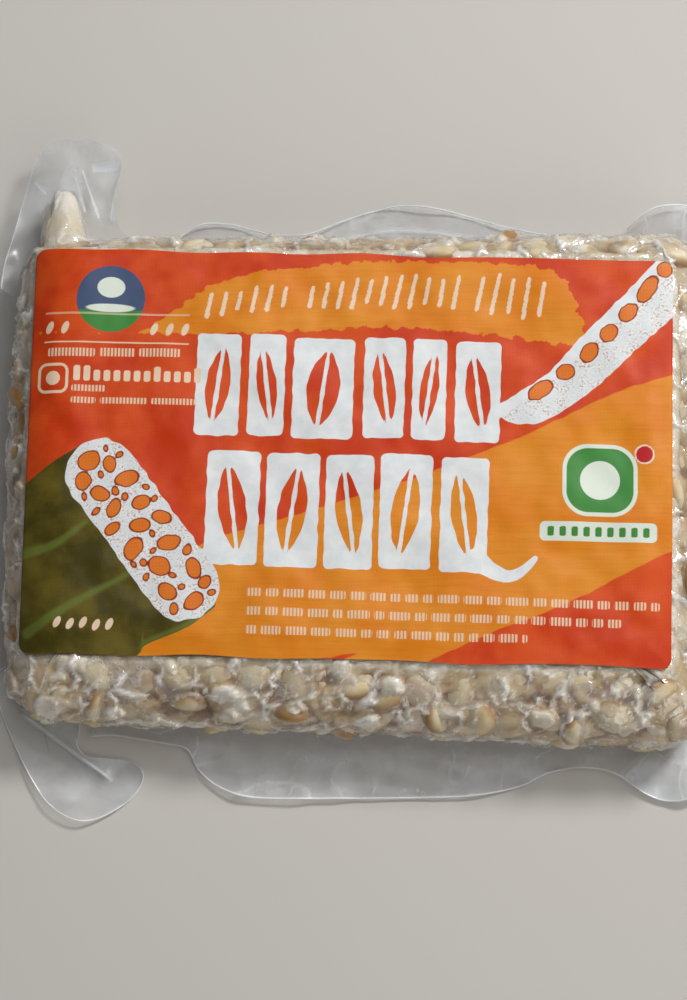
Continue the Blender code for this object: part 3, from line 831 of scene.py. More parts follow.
def make_front_film(material):
    """The film along the front as one sheet: a strip by the left ear that steps out to its full
    width, then the milkier corner that lies before the right corner and round its end. The two
    stretches share a point, and their heights and whiteness are blended across it by x."""
    before = beside_slab(223.5, 314.15, 420, FILM_LOW, FILM_TUCK)
    round_end = beside_slab(314.15, 333.0, 220, FILM_LOW, FILM_TUCK)
    inner = np.concatenate([before, round_end[1:]])
    rim = smoothed(
        [(-49.6, -47.9), (-45.4, -47.6), (-40.4, -48.3), (-35.4, -49.0), (-31.4, -50.0),
         (-28.8, -54.2), (-24.5, -57.3), (-18.0, -58.9), (-2.0, -58.7), (14.0, -58.2),
         (23.0, -57.6), (31.0, -55.8), (36.1, -53.3), (41.0, -52.2), (44.2, -52.1),
         (47.15, -52.45)],
        420,
    )
    corner = smoothed(
        [(47.15, -52.45), (49.8, -53.6), (52.4, -55.4), (54.8, -56.9), (58.2, -58.0), (62.5, -57.6),
         (67.6, -54.0), (71.0, -48.0), (71.4, -41.5), (69.4, -35.4)],
        220,
    )
    xy, out = ruled_grid(inner, np.concatenate([rim, corner[1:]]), 34)
    places = on_plane(xy)
    sway = 0.5 + 0.5 * waves(places, 22.0, 51)
    low = 1.2 * out**2 * np.clip(sway, 0.0, 1.4) + 0.10 * waves(places, 5.0, 52) * out
    lifted = np.maximum(out**1.5 * (1.1 + 0.9 * waves(places, 12.0, 57)) * 1.1, 0.0)
    at_corner = smooth_step(xy[..., 0], 48.0, 57.0)
    height = FILM_LOW + low * (1.0 - at_corner) + lifted * at_corner
    faint = 0.30 * np.maximum(1.0 - np.abs(waves(places, 9.0, 53)) * 9.0, 0.0) * out
    milky = (0.40 + 0.45 * np.maximum(1.0 - np.abs(waves(places, 8.0, 58)) * 6.0, 0.0)) * out
    crease = faint * (1.0 - at_corner) + milky * at_corner
    nodes = ("film_rim_front", "film_ear_front_right")
    return film_piece("film_front", xy, height, crease, False, nodes, material)


def make_back_rim(material):
    """The rim behind the slab: a short lobe, then a longer and wider one."""
    inner = beside_slab(127.0, 50.0, 420, FILM_LOW, FILM_TUCK)
    outer = smoothed(
        [(-35.8, 49.4), (-31.2, 52.1), (-25.2, 52.2), (-18.0, 50.4), (-11.0, 50.4), (-4.1, 53.4),
         (2.5, 55.7), (8.0, 56.6), (17.0, 55.6), (28.9, 52.4), (37.0, 51.0), (41.0, 50.8)],
        420,
    )
    xy, out = ruled_grid(inner, outer, 30)
    places = on_plane(xy)
    sway = 0.5 + 0.5 * waves(places, 20.0, 54)
    height = FILM_LOW + 1.3 * out**2 * np.clip(sway, 0.0, 1.4) + 0.10 * waves(places, 5.0, 55) * out
    crease = 0.35 * bell(out - 0.62, 0.03) * (places[..., 0] > -8.0)
    return film_piece("film_back", xy, height, crease, False, ("film_rim_back",), material)


def make_front_left_ear(material):
    """The corner ear folded flat before the left corner, spread from a middle point to its rim,
    with a sharp fold that runs from the slab's corner to the curled tail."""
    inner = beside_slab(222.0, 206.0, 90, FILM_LOW, FILM_TUCK)
    outer = smoothed(
        [(-68.0, -36.0), (-66.6, -43.0), (-62.8, -51.6), (-58.4, -58.9), (-54.6, -62.4),
         (-50.3, -63.8), (-45.8, -62.4), (-41.4, -59.2), (-39.3, -55.2), (-41.2, -52.6),
         (-46.0, -51.9), (-50.0, -51.5), (-51.9, -49.4), (-51.6, -47.6)],
        360,
    )
    steps = np.linspace(0.0, 1.0, 24)[1:-1, None]
    joint = outer[-1] + (inner[0] - outer[-1]) * steps
    shore = inner[-1] + (outer[0] - inner[-1]) * steps
    rim = np.concatenate([inner, shore, outer, joint])
    middle = np.array([-57.0, -51.6])
    share = spread(64)[:, None, None]
    xy = middle + (rim[None] - middle) * share
    start = np.array([-62.6, -43.8])
    along = np.array([17.6, -12.4]) / np.hypot(17.6, 12.4)
    across = (xy - start) @ np.array([-along[1], along[0]])
    onward = (xy - start) @ along
    reach = smooth_step(-xy[..., 1], 46.0, 53.0)
    places = on_plane(xy)
    ridge = np.exp(-np.abs(across) / 1.1) * smooth_step(-onward, -22.0, -19.0)
    height = (
        FILM_LOW + reach * (1.5 * ridge + 0.012 * across**2)
        + 0.12 * waves(places, 6.0, 56) * reach
    )
    folded = smooth_step(-onward, -22.0, -19.0) * smooth_step(onward, -1.0, 2.0)
    overlap = smooth_step(across, -0.1, 0.3) * (1.0 - smooth_step(across, 3.5, 5.5))
    crease = (0.95 * bell(across, 0.30) + 0.26 * overlap) * folded
    return film_piece("film_ear_tail", xy, height, crease, True, ("film_ear_front_left",), material)


def make_back_right_ear(material):
    """The small ear behind the right corner."""
    inner = beside_slab(24.0, 45.0, 220, FILM_LOW, FILM_TUCK)
    outer = smoothed(
        [(69.2, 31.2), (71.4, 38.0), (72.4, 46.0), (70.0, 53.6), (64.0, 57.4), (57.0, 57.0),
         (51.0, 52.6)],
        220,
    )
    xy, out = ruled_grid(inner, outer, 34)
    places = on_plane(xy)
    height = np.maximum(FILM_LOW + out**1.5 * (1.2 + 0.9 * waves(places, 13.0, 59)) * 1.1, FILM_LOW)
    crease = 0.4 * np.maximum(1.0 - np.abs(waves(places, 8.0, 60)) * 7.0, 0.0) * out
    return film_piece("film_ear_far", xy, height, crease, False, ("film_ear_back_right",), material)


def make_back_left_ear(material):
    """The ear that stands up round the horn: a sheet that starts at the side's widest height and
    rolls up to a lip, with a painted highlight band near its upper right."""
    height = HORN_HEIGHT - 1.0
    inner = beside_slab(134.0, 152.0, 300, height, 0.6)
    outer = smoothed(
        [(-48.6, 50.6), (-48.1, 53.6), (-47.0, 58.8), (-46.7, 61.8), (-47.9, 64.1), (-51.7, 66.1),
         (-56.3, 66.8), (-60.1, 66.3), (-62.5, 64.3), (-64.3, 59.6), (-66.3, 51.0), (-68.0, 43.1),
         (-68.7, 39.0), (-68.8, 36.4)],
        300,
    )
    xy, out = ruled_grid(inner, outer, 44)
    places = on_plane(xy)
    along = np.linspace(0.0, 1.0, 300)[None, :]
    lip = 0.5 + 0.5 * np.sin(TURN * along + 0.9)
    level = height + out * (3.2 * lip - 1.0) + 0.35 * waves(places, 7.0, 61) * out
    x, y = xy[..., 0], xy[..., 1]
    crease = 0.26 * smooth_step(oval_distance(x, y, (-56.2, 56.6), 5.4, 2.4, np.pi / 2), -0.3, 0.9)
    # White creases: partly film whitening, partly painted highlight.
    for start, end, half, white in HORN_EAR_CREASES:
        line = smooth_step(stroke_distance(x, y, start, end, half), -0.15, 0.15)
        crease = np.maximum(crease, white * line)
    # Painted highlight: a white band near the ear's upper right, where the rolled lip faces the
    # light.
    band = smooth_step(box_distance(x, y, (-52.4, 60.0), (-46.9, 62.2), 0.4), -0.2, 0.2)
    crease = np.maximum(crease, band * (0.95 - 0.6 * smooth_step(y, 60.4, 62.0)))
    nodes = ("film_ear_back_left",)
    return film_piece("film_ear_horn", xy, level, crease, False, nodes, material, 0.35)


# ---------------------------------------------------------------- label


def label_grid():
    """Label places as rows by columns: u and v on the flat paper. Rows and columns are evenly
    spaced; near the two ends of a row's height the ends pull in to round the corners."""
    columns = int(LABEL_LENGTH / LABEL_STEP)
    rows = int(LABEL_WIDTH / LABEL_STEP)
    edge = LABEL_CORNER * (1.0 - np.cos(np.linspace(0.0, np.pi / 2, 9)))[:-1]
    straight = np.linspace(LABEL_CORNER, LABEL_WIDTH - LABEL_CORNER, rows)
    v = np.concatenate([edge, straight, LABEL_WIDTH - edge[::-1]])
    to_edge = np.minimum(v, LABEL_WIDTH - v)
    cut = LABEL_CORNER - np.minimum(to_edge, LABEL_CORNER)
    pull = LABEL_CORNER - np.sqrt(LABEL_CORNER**2 - cut**2)
    share = np.linspace(0.0, 1.0, columns)[None, :]
    u = pull[:, None] + (LABEL_LENGTH - 2.0 * pull)[:, None] * share
    return u, np.repeat(v[:, None], columns, axis=1)


def box_distance(u, v, low, high, radius=0.0, lean=0.0):
    """How far inside a rounded box: positive inside, in millimetres. lean slants its sides."""
    middle_u, middle_v = (low[0] + high[0]) / 2, (low[1] + high[1]) / 2
    across = np.abs(u - middle_u - lean * (v - middle_v)) - (high[0] - low[0]) / 2 + radius
    up = np.abs(v - middle_v) - (high[1] - low[1]) / 2 + radius
    outside = np.hypot(np.maximum(across, 0.0), np.maximum(up, 0.0))
    return radius - outside - np.minimum(np.maximum(across, up), 0.0)


def disc_distance(u, v, centre, radius):
    """How far inside a disc: its radius less the distance from its centre."""
    return radius - np.hypot(u - centre[0], v - centre[1])


def oval_distance(u, v, centre, half_long, half_wide, angle):
    """How far inside an oval, nearly: the ellipse's own radius measure times its half width."""
    c, s = np.cos(angle), np.sin(angle)
    p = (u - centre[0]) * c + (v - centre[1]) * s
    q = -(u - centre[0]) * s + (v - centre[1]) * c
    return (1.0 - np.sqrt((p / half_long) ** 2 + (q / half_wide) ** 2)) * min(half_long, half_wide)


def stroke_distance(u, v, start, end, half_width, half_end=None):
    """How far inside a straight stroke with round ends, which may taper to its end."""
    start, end = np.array(start, dtype=float), np.array(end, dtype=float)
    line = end - start
    share = ((u - start[0]) * line[0] + (v - start[1]) * line[1]) / np.dot(line, line)
    share = np.clip(share, 0.0, 1.0)
    away = np.hypot(u - start[0] - share * line[0], v - start[1] - share * line[1])
    width = half_width if half_end is None else half_width + (half_end - half_width) * share
    return width - away


def over_line(u, v, points):
    """How far above a smooth line through points given from left to right."""
    line = smoothed(points, 200)
    slope = np.gradient(line[:, 1], line[:, 0])
    level = np.interp(u, line[:, 0], line[:, 1])
    steep = np.interp(u, line[:, 0], slope)
    return (v - level) / np.sqrt(1.0 + steep**2)


def ragged(u, v, wavelength, seed):
    """Smooth uneven noise over the flat paper, which roughens a printed edge."""
    return waves(np.stack([u, v], axis=-1), wavelength, seed)


def leaf_distance(u, v, centre, half_long, half_wide, tilt):
    """How far inside an upright leaf shape: what two equal circles share, tilted."""
    across = (u - centre[0]) * np.cos(tilt) + (v - centre[1]) * np.sin(tilt)
    along = -(u - centre[0]) * np.sin(tilt) + (v - centre[1]) * np.cos(tilt)
    radius = (half_long**2 + half_wide**2) / (2.0 * half_wide)
    shift = radius - half_wide
    one = radius - np.hypot(across - shift, along)
    other = radius - np.hypot(across + shift, along)
    return np.minimum(one, other), across


def title_tiles(u, v):
    """Two rows of tall plain tiles, each with a leaf-shaped window and its midrib, and a long
    tail that sweeps away from the last one. They stand in for a title and spell nothing."""
    upper = ((31.0, 39.2), (40.8, 47.5), (49.0, 60.3), (62.2, 69.8), (71.2, 77.5), (79.2, 87.6))
    lower = ((33.6, 43.4), (44.6, 54.4), (55.6, 64.4), (65.6, 75.2), (76.8, 85.6))
    best = np.full(u.shape, NO_INK)
    for row, (spans, bottom, top) in enumerate(((upper, 41.2, 60.4), (lower, 16.8, 38.2))):
        for k, (left, right) in enumerate(spans):
            rise = 0.25 * np.sin(2.3 * k + row)
            tile = box_distance(u, v, (left, bottom + rise), (right, top + rise), 0.9, 0.01)
            middle = ((left + right) / 2, (bottom + top) / 2 + rise)
            tilt = 0.13 if (k + row) % 2 else -0.13
            window, across = leaf_distance(
                u, v, middle, (top - bottom) * 0.40, (right - left) * 0.27, tilt
            )
            window = np.minimum(window, np.abs(across) - 0.38)
            best = np.maximum(best, np.minimum(tile, -window))
    tail = smoothed([(83.6, 19.2), (86.4, 17.2), (89.4, 16.2), (92.2, 17.2), (94.4, 19.6)], 14)
    for k in range(len(tail) - 1):
        width = 1.9 - 1.5 * k / len(tail)
        best = np.maximum(best, stroke_distance(u, v, tail[k], tail[k + 1], width, width - 0.11))
    return best + 0.08 * ragged(u, v, 3.2, 71)


def swoosh(u, v):
    """A broad dry brush sweep with a ragged edge."""
    top = over_line(
        u, v,
        [(20, 60), (27, 65.2), (33, 69.6), (44, 72.9), (58, 74.8), (77, 75.6), (93, 75.2),
         (99, 72.8), (102, 66), (104, 58)],
    )
    bottom = over_line(
        u, v,
        [(20, 60.4), (30, 60.2), (51, 61.5), (70, 62.6), (88, 61.4), (97, 60.4), (110, 60)],
    )
    return np.minimum(-top, bottom) + 0.35 * ragged(u, v, 3.0, 72) + 0.15 * ragged(u, v, 1.0, 73)


def hand_strokes(u, v):
    """A curved row of thin ticks along the brush sweep, all leaning one way."""
    random = np.random.default_rng(74)
    best = np.full(u.shape, NO_INK)
    words = ((33.0, 47.0, 6), (52.0, 79.0, 11), (83.5, 95.0, 5))
    places = np.concatenate([np.linspace(*word) for word in words])
    for place in places:
        middle = 65.5 + 4.2 * np.sin((place - 31.0) / 64.0 * 2.2)
        half = (2.3 + 1.6 * (place - 33.0) / 62.0) * random.uniform(0.62, 1.0)
        slant = random.uniform(0.14, 0.22)
        lift = random.uniform(-0.3, 0.3)
        foot = (place - slant * half, middle - half + lift)
        head = (place + slant * half, middle + half + lift)
        best = np.maximum(best, stroke_distance(u, v, foot, head, 0.42, 0.34))
    return best + 0.10 * ragged(u, v, 0.9, 75)


def slice_picture(u, v):
    """The upright slice: a white capsule set with seeded ovals. Returns the capsule and ovals."""
    top, bottom, radius = np.array([14.2, 33.4]), np.array([30.0, 12.9]), 6.6
    capsule = stroke_distance(u, v, top, bottom, radius) + 0.18 * ragged(u, v, 3.2, 76)
    along = (bottom - top) / np.linalg.norm(bottom - top)
    side = np.array([-along[1], along[0]])
    length = np.linalg.norm(bottom - top)
    random = np.random.default_rng(77)
    ovals = np.full(u.shape, NO_INK)
    kept = []
    for attempt in range(1600):
        size = (2.05, 1.7, 1.25, 0.75)[min(attempt // 300, 3)] * random.uniform(0.85, 1.1)
        s, t = random.uniform(-radius, length + radius), random.uniform(-radius, radius)
        past = s - np.clip(s, 0.0, length)
        fits = np.hypot(past, t) + size < radius - 0.45
        clear = all(np.hypot(s - a, t - b) > 0.93 * (size + c) + 0.36 for a, b, c in kept)
        if fits and clear and (len(kept) < 9 or size < 1.95):
            kept.append((s, t, size))
            centre = top + along * s + side * t
            turn = random.uniform(0.0, np.pi)
            shape = oval_distance(u, v, centre, size * 1.06, size * random.uniform(0.66, 0.9), turn)
            ovals = np.maximum(ovals, shape)
    return capsule, ovals + 0.07 * ragged(u, v, 2.4, 78)


def long_slice_picture(u, v):
    """The slanting slice that runs off the far corner: a white band between two lines, with a
    row of ovals near its upper line."""
    upper = over_line(
        u, v,
        [(84, 44.4), (87.9, 48.6), (95.7, 54.0), (100.3, 59.2), (105.9, 65.2), (112.7, 72.6),
         (119, 79.5)],
    )
    lower = over_line(
        u, v,
        [(86, 47.6), (88.6, 45.4), (91.8, 44.7), (96.0, 45.6), (104.0, 51.0), (112.9, 59.6),
         (120, 66.4)],
    )
    band = np.minimum(-upper, lower) + 0.12 * ragged(u, v, 2.6, 79)
    ovals = np.full(u.shape, NO_INK)
    row = (
        ((95.0, 51.3), 2.7, 0.62), ((99.6, 54.9), 1.8, 0.35), ((104.0, 58.7), 2.1, 0.95),
        ((107.6, 62.5), 1.9, 0.85), ((111.2, 66.6), 2.1, 0.8), ((114.8, 71.2), 2.9, 1.0),
        ((118.0, 75.0), 1.5, 1.2),
    )
    for middle, long_half, angle in row:
        ovals = np.maximum(ovals, oval_distance(u, v, middle, long_half, 1.45, angle))
    return band, ovals + 0.08 * ragged(u, v, 1.6, 80)


def small_print(u, v):
    """Bars where lines of small print would stand: rows broken into words of uneven length."""
    random = np.random.default_rng(81)
    best = np.full(u.shape, NO_INK)
    rows = (
        (41.6, 117.4, 12.0, -0.012, 0.78, 2.6), (41.6, 111.2, 8.5, -0.010, 0.78, 2.6),
        (41.6, 93.2, 5.0, -0.010, 0.78, 2.6), (7.9, 32.2, 47.3, 0.0, 0.6, 5.5),
        (3.2, 28.6, 56.4, 0.012, 0.8, 6.5), (7.9, 14.2, 49.6, 0.0, 0.62, 9.0),
    )
    for left, right, level, slope, half, word in rows:
        place = left
        while place < right - 0.8:
            end = min(place + random.uniform(0.7, 1.6) * word, right)
            middle = level + slope * (place - left)
            bar = box_distance(u, v, (place, middle - half), (end, middle + half), 0.3)
            best = np.maximum(best, bar)
            place = end + 0.75
    return best


def bold_print(u, v):
    """Plain rounded bars and rules in cream: the badge's two rules and ticks, the bold line and
    the short line low on the left."""
    best = np.full(u.shape, NO_INK)
    for level in (63.9, 58.4):
        best = np.maximum(best, box_distance(u, v, (2.4, level - 0.17), (29.6, level + 0.17), 0.1))
    for place in (3.4, 6.3, 22.9, 25.8, 28.7):
        best = np.maximum(best, oval_distance(u, v, (place, 61.1), 1.25, 0.62, 1.2))
    for k in range(13):
        place = 8.2 + 1.87 * k
        top = 53.9 if k in (0, 1, 8, 12) else 53.1
        best = np.maximum(best, box_distance(u, v, (place, 51.0), (place + 1.25, top), 0.35))
    for k in range(5):
        place = 6.5 + 2.4 * k
        level = 5.4 + (0.18, -0.1, 0.2, -0.16, 0.12)[k]
        best = np.maximum(best, oval_distance(u, v, (place + 0.6, level), 1.15, 0.6, 1.1))
    best = np.maximum(best, disc_distance(u, v, (4.4, 51.4), 1.35))
    square = box_distance(u, v, (1.5, 48.5), (7.3, 54.3), 1.6)
    return np.maximum(best, np.minimum(square, 0.55 - square))


def print_layers(u, v):
    """Every ink field of the label as a signed distance, positive where the ink is."""
    gold_top = over_line(
        u, v,
        [(20, 14.0), (36, 21.9), (44.2, 24.7), (61.6, 30.4), (71.5, 33.9), (83.4, 38.9),
         (91.8, 42.4), (100.4, 46.9), (109, 51.2), (121, 55.6)],
    )
    gold_bottom = over_line(
        u, v, [(60, -9.0), (75.2, 0.1), (87.4, 5.9), (99.7, 11.1), (115.1, 19.4), (122, 22.6)]
    )
    wedge = stroke_distance(u, v, (56.0, -0.6), (62.6, 1.2), 0.7, 0.05)
    gold = np.minimum(np.minimum(-gold_top, gold_bottom), -wedge) + 0.10 * ragged(u, v, 4.0, 82)
    leaf_top = over_line(u, v, [(-4, 29.0), (0.1, 31.7), (7.2, 36.8), (16, 41.0), (40, 46)])
    leaf_low = over_line(
        u, v, [(10, -8.0), (21.4, -0.4), (23.6, 2.1), (30.2, 4.7), (34.0, 7.4), (46, 18)]
    )
    beyond_slice = ((u - 14.2) * 20.4 + (v - 33.2) * 15.8) / 25.8
    leaf = np.minimum(np.minimum(-leaf_top, leaf_low), np.where(v > 12.8, -beyond_slice, 36.0 - u))
    veins = np.full(u.shape, NO_INK)
    for path in (((0.3, 18.4), (6.1, 20.1), (11.6, 24.2)), ((1.6, 3.6), (9.1, 8.7), (19.6, 14.6))):
        line = smoothed(path, 8)
        for k in range(len(line) - 1):
            width = 0.95 - 0.6 * k / len(line)
            stroke = stroke_distance(u, v, line[k], line[k + 1], width, width - 0.08)
            veins = np.maximum(veins, stroke)
    leaf_edge = np.minimum(leaf_low, 0.9 - leaf_low)
    leaf_edge = np.minimum(leaf_edge, smooth_step(u, 21.0, 24.0) * 2.0 - 1.0)
    capsule, capsule_ovals = slice_picture(u, v)
    band, band_ovals = long_slice_picture(u, v)
    badge = disc_distance(u, v, (14.6, 66.8), 6.4)
    badge_low = np.minimum(badge, 64.6 - v)
    badge_heart = np.maximum(
        oval_distance(u, v, (14.6, 69.0), 2.6, 2.0, 0.0),
        oval_distance(u, v, (14.6, 65.0), 4.6, 0.8, 0.0),
    )
    seal = box_distance(u, v, (100.0, 28.4), (112.4, 40.6), 4.0)
    seal_rim = seal + 0.75
    seal_heart = oval_distance(u, v, (106.2, 34.5), 3.7, 3.7, 0.0)
    seal_bar = box_distance(u, v, (95.2, 23.0), (116.8, 26.6), 0.9)
    dot = disc_distance(u, v, (114.4, 39.6), 1.9)
    ticks = np.full(u.shape, NO_INK)
    for k in range(9):
        place = 96.6 + 2.2 * k
        ticks = np.maximum(ticks, box_distance(u, v, (place, 23.9), (place + 1.2, 25.7), 0.2))
    title = title_tiles(u, v)
    under_seeds = over_line(u, v, [(84, 42.5), (100, 55.2), (119, 75.0)])
    seal_line = np.minimum(seal_rim, 0.75 - seal_rim)
    return {
        "ink_gold": np.maximum(gold, swoosh(u, v)),
        "ink_leaf": leaf,
        "ink_vein": np.maximum(veins, leaf_edge),
        "ink_white": np.maximum(np.maximum(capsule, band), title),
        "ink_speckle": np.maximum(capsule, np.minimum(band, -under_seeds + 0.5)),
        "ink_oval": np.maximum(capsule_ovals, np.where(band > -0.3, band_ovals, -5.0)),
        "ink_cream": np.maximum(hand_strokes(u, v), bold_print(u, v)),
        "ink_small": small_print(u, v),
        "ink_blue": badge,
        "ink_moss": np.maximum(badge_low, np.maximum(seal, ticks)),
        "ink_pale": np.maximum.reduce(
            [badge_heart, seal_heart, seal_line, np.minimum(seal_bar, -ticks)]
        ),
        "ink_red": dot - 0.35,
        "ink_halo": np.minimum(dot, 0.35 - dot),
    }


def label_finish():
    """Printed paper under a thin gloss: red-orange ground, gold sweeps, leaf green, white and
    cream shapes, all broken up by a fine slanting screen of dots."""
    f = Finish("printed_paper")
    where = f.place("UV")
    split = f.nodes.new("ShaderNodeSeparateXYZ")
    f.link(where, split.inputs[0])
    u, v = split.outputs[0], split.outputs[1]
    cloud = f.noise(0.09, 4.0, where)
    blot = f.noise(0.45, 3.0, where)
    one = f.math("SINE", f.math("MULTIPLY", f.math("ADD", u, v), 12.0))
    two = f.math("SINE", f.math("MULTIPLY", f.math("SUBTRACT", u, v), 12.0))
    screen = f.math("MULTIPLY_ADD", f.math("MULTIPLY", one, two), 0.5, 0.5)

    def inked(below, name, colour, soft=0.07):
        """The colour below, covered where that ink's distance is above nought."""
        return f.blend(f.fade(f.value(name), -soft, soft), below, colour)

    red = f.blend(f.fade(cloud, 0.35, 0.65), srgb(212, 62, 16), srgb(232, 92, 30))
    red = f.blend(f.math("MULTIPLY", screen, 0.45), red, srgb(182, 38, 8))
    gold = f.blend(f.fade(cloud, 0.35, 0.65), srgb(232, 138, 22), srgb(238, 156, 42))
    gold = f.blend(f.math("MULTIPLY", screen, 0.42), gold, srgb(208, 100, 14))
    stretched = f.nodes.new("ShaderNodeMapping")
    f.link(where, stretched.inputs["Vector"])
    stretched.inputs["Scale"].default_value = (0.10, 1.5, 1.0)
    stretched.inputs["Rotation"].default_value = (0.0, 0.0, -0.06)
    bristle = f.noise(1.0, 4.0, stretched.outputs[0])
    gold = f.blend(f.fade(bristle, 0.40, 0.68, 0.0, 0.15), gold, srgb(196, 84, 16))
    colour = inked(red, "ink_gold", gold, 0.12)
    leaf = f.blend(f.fade(cloud, 0.35, 0.65), srgb(72, 64, 14), srgb(118, 104, 36))
    leaf = f.blend(f.math("MULTIPLY", screen, 0.4), leaf, srgb(44, 40, 10))
    colour = inked(colour, "ink_leaf", leaf)
    vein = f.fade(f.value("ink_vein"), -0.5, 0.5)
    vein = f.math("MULTIPLY", vein, f.fade(f.value("ink_leaf"), -0.05, 0.05))
    colour = f.blend(f.math("MULTIPLY", vein, 0.62), colour, srgb(112, 128, 56))
    white = f.blend(f.fade(blot, 0.3, 0.7), srgb(226, 231, 234), srgb(238, 240, 240))
    colour = inked(colour, "ink_white", white)
    fleck = f.fade(f.noise(2.4, 5.0, where), 0.47, 0.62)
    fleck = f.math("MULTIPLY", fleck, f.fade(f.value("ink_speckle"), -0.1, 0.2))
    fleck = f.math("MULTIPLY", fleck, f.fade(blot, 0.42, 0.62, 0.15, 0.75))
    colour = f.blend(fleck, colour, srgb(172, 118, 88))
    oval = f.value("ink_oval")
    colour = f.blend(f.fade(oval, -0.13, -0.03), colour, srgb(146, 44, 14))
    pith = f.blend(screen, srgb(236, 138, 40), srgb(214, 96, 22))
    colour = f.blend(f.fade(oval, 0.08, 0.20), colour, pith)
    colour = inked(colour, "ink_blue", srgb(72, 88, 122))
    colour = inked(colour, "ink_moss", srgb(66, 140, 62))
    colour = inked(colour, "ink_pale", srgb(226, 236, 222))
    colour = inked(colour, "ink_red", srgb(196, 34, 40))
    colour = inked(colour, "ink_halo", srgb(240, 226, 205))
    colour = inked(colour, "ink_cream", srgb(242, 214, 184))
    tick = f.math("SINE", f.math("MULTIPLY", u, 9.6))
    bars = f.fade(f.value("ink_small"), -0.05, 0.07)
    bars = f.math("MULTIPLY", bars, f.fade(tick, -0.55, 0.25, 0.12, 1.0))
    colour = f.blend(bars, colour, srgb(240, 208, 176))
    printed = f.value("face")
    colour = f.blend(f.fade(printed, 0.45, 0.55), srgb(226, 206, 176), colour)
    grain = f.noise(3.0, 3.0, where)
    normal = f.bump(grain, 0.00008, 0.35)
    rough = f.math("MULTIPLY_ADD", grain, 0.12, 0.34)
    gloss = {"Specular_IOR_Level": 0.22, "Coat_Weight": 0.06, "Coat_Roughness": 0.3}
    return f.finish(f.surface(colour, rough, normal, **gloss))


def laid_on_slab(u, v, middle):
    """Where a place on the paper lies on the slab: turned about the label's middle, then lifted
    to the slab's upper side plus a slow swell and shallow dimples from the beans below."""
    flat = np.stack([u, v], axis=-1)
    x, y = u - LABEL_LENGTH / 2, v - LABEL_WIDTH / 2
    near_edge = smooth_step(np.abs(y), LABEL_WIDTH / 2 - 9.0, LABEL_WIDTH / 2)
    y = y + 0.28 * waves(flat, 24.0, 91) * near_edge
    placed_x = x * np.cos(LABEL_TURN) - y * np.sin(LABEL_TURN) + middle[0]
    placed_y = x * np.sin(LABEL_TURN) + y * np.cos(LABEL_TURN) + middle[1]
    swell = 0.20 * waves(flat, 19.0, 92) + 0.10 * waves(flat, 9.0, 93)
    swell = swell + 0.035 * waves(flat, 5.0, 94)
    to_edge = np.minimum(np.minimum(u, LABEL_LENGTH - u), np.minimum(v, LABEL_WIDTH - v))
    hug = smooth_step(to_edge, 0.0, 5.0)
    height = cover_height(placed_x, placed_y) + LABEL_LIFT + (0.30 + swell) * hug
    return np.stack([placed_x, placed_y, height], axis=-1)


def make_label():
    """The label: a fine grid for its printed face, a wall one paper thick round its edge, and a
    hidden underside of rings that shrink to its middle."""
    low, high = node_box("label")
    middle = (low + high) / 2
    u, v = label_grid()
    over = laid_on_slab(u, v, middle)
    rows, columns = u.shape
    index = np.arange(rows * columns).reshape(rows, columns)
    a, b, c, d = index[:-1, :-1], index[:-1, 1:], index[1:, 1:], index[1:, :-1]
    face = np.stack([a, b, c, d], axis=-1).reshape(-1, 4)
    border = np.concatenate([index[0, :-1], index[:-1, -1], index[-1, :0:-1], index[:0:-1, 0]])
    edge_u, edge_v = u.reshape(-1)[border], v.reshape(-1)[border]
    share = np.array([1.0, 0.985, 0.96, 0.92, 0.86, 0.78, 0.69, 0.59, 0.48, 0.36, 0.24, 0.12])
    share = share[:, None]
    ring_u = LABEL_LENGTH / 2 + (edge_u - LABEL_LENGTH / 2) * share
    ring_v = LABEL_WIDTH / 2 + (edge_v - LABEL_WIDTH / 2) * share
    under = laid_on_slab(ring_u, ring_v, middle)
    inward = np.minimum(LABEL_LENGTH / 2 * (1.0 - share), UNDERSIDE_BLEND) / UNDERSIDE_BLEND
    under[..., 2] -= PAPER_THICKNESS + UNDERSIDE_DROP * inward
    centre = laid_on_slab(np.array([LABEL_LENGTH / 2]), np.array([LABEL_WIDTH / 2]), middle)
    centre[:, 2] -= PAPER_THICKNESS + UNDERSIDE_DROP
    ring = rows * columns + np.arange(share.size * len(border)).reshape(share.size, len(border))
    loops = np.concatenate([border[None], ring])
    after = np.roll(loops, -1, axis=1)
    hidden = np.stack([loops[:-1], loops[1:], after[1:], after[:-1]], axis=-1).reshape(-1, 4)
    pole = ring[-1, -1] + 1
    fan = np.stack([ring[-1], np.full(len(border), pole), np.roll(ring[-1], -1)], axis=-1)
    points = np.concatenate([over.reshape(-1, 3), under.reshape(-1, 3), centre.reshape(-1, 3)])
    plain = len(points) - rows * columns
    values = {
        name: np.concatenate([field.reshape(-1), np.full(plain, -5.0)])
        for name, field in print_layers(u, v).items()
    }
    values["face"] = np.concatenate([np.ones(rows * columns), np.zeros(plain)])
    uv = np.concatenate([np.stack([u, v], axis=-1).reshape(-1, 2), np.zeros((plain, 2))])
    quads = np.concatenate([face, hidden])
    piece = new_piece("printed_label", points, quads, fan, label_finish(), values, uv)
    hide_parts("label")
    return piece


# ---------------------------------------------------------------- stage


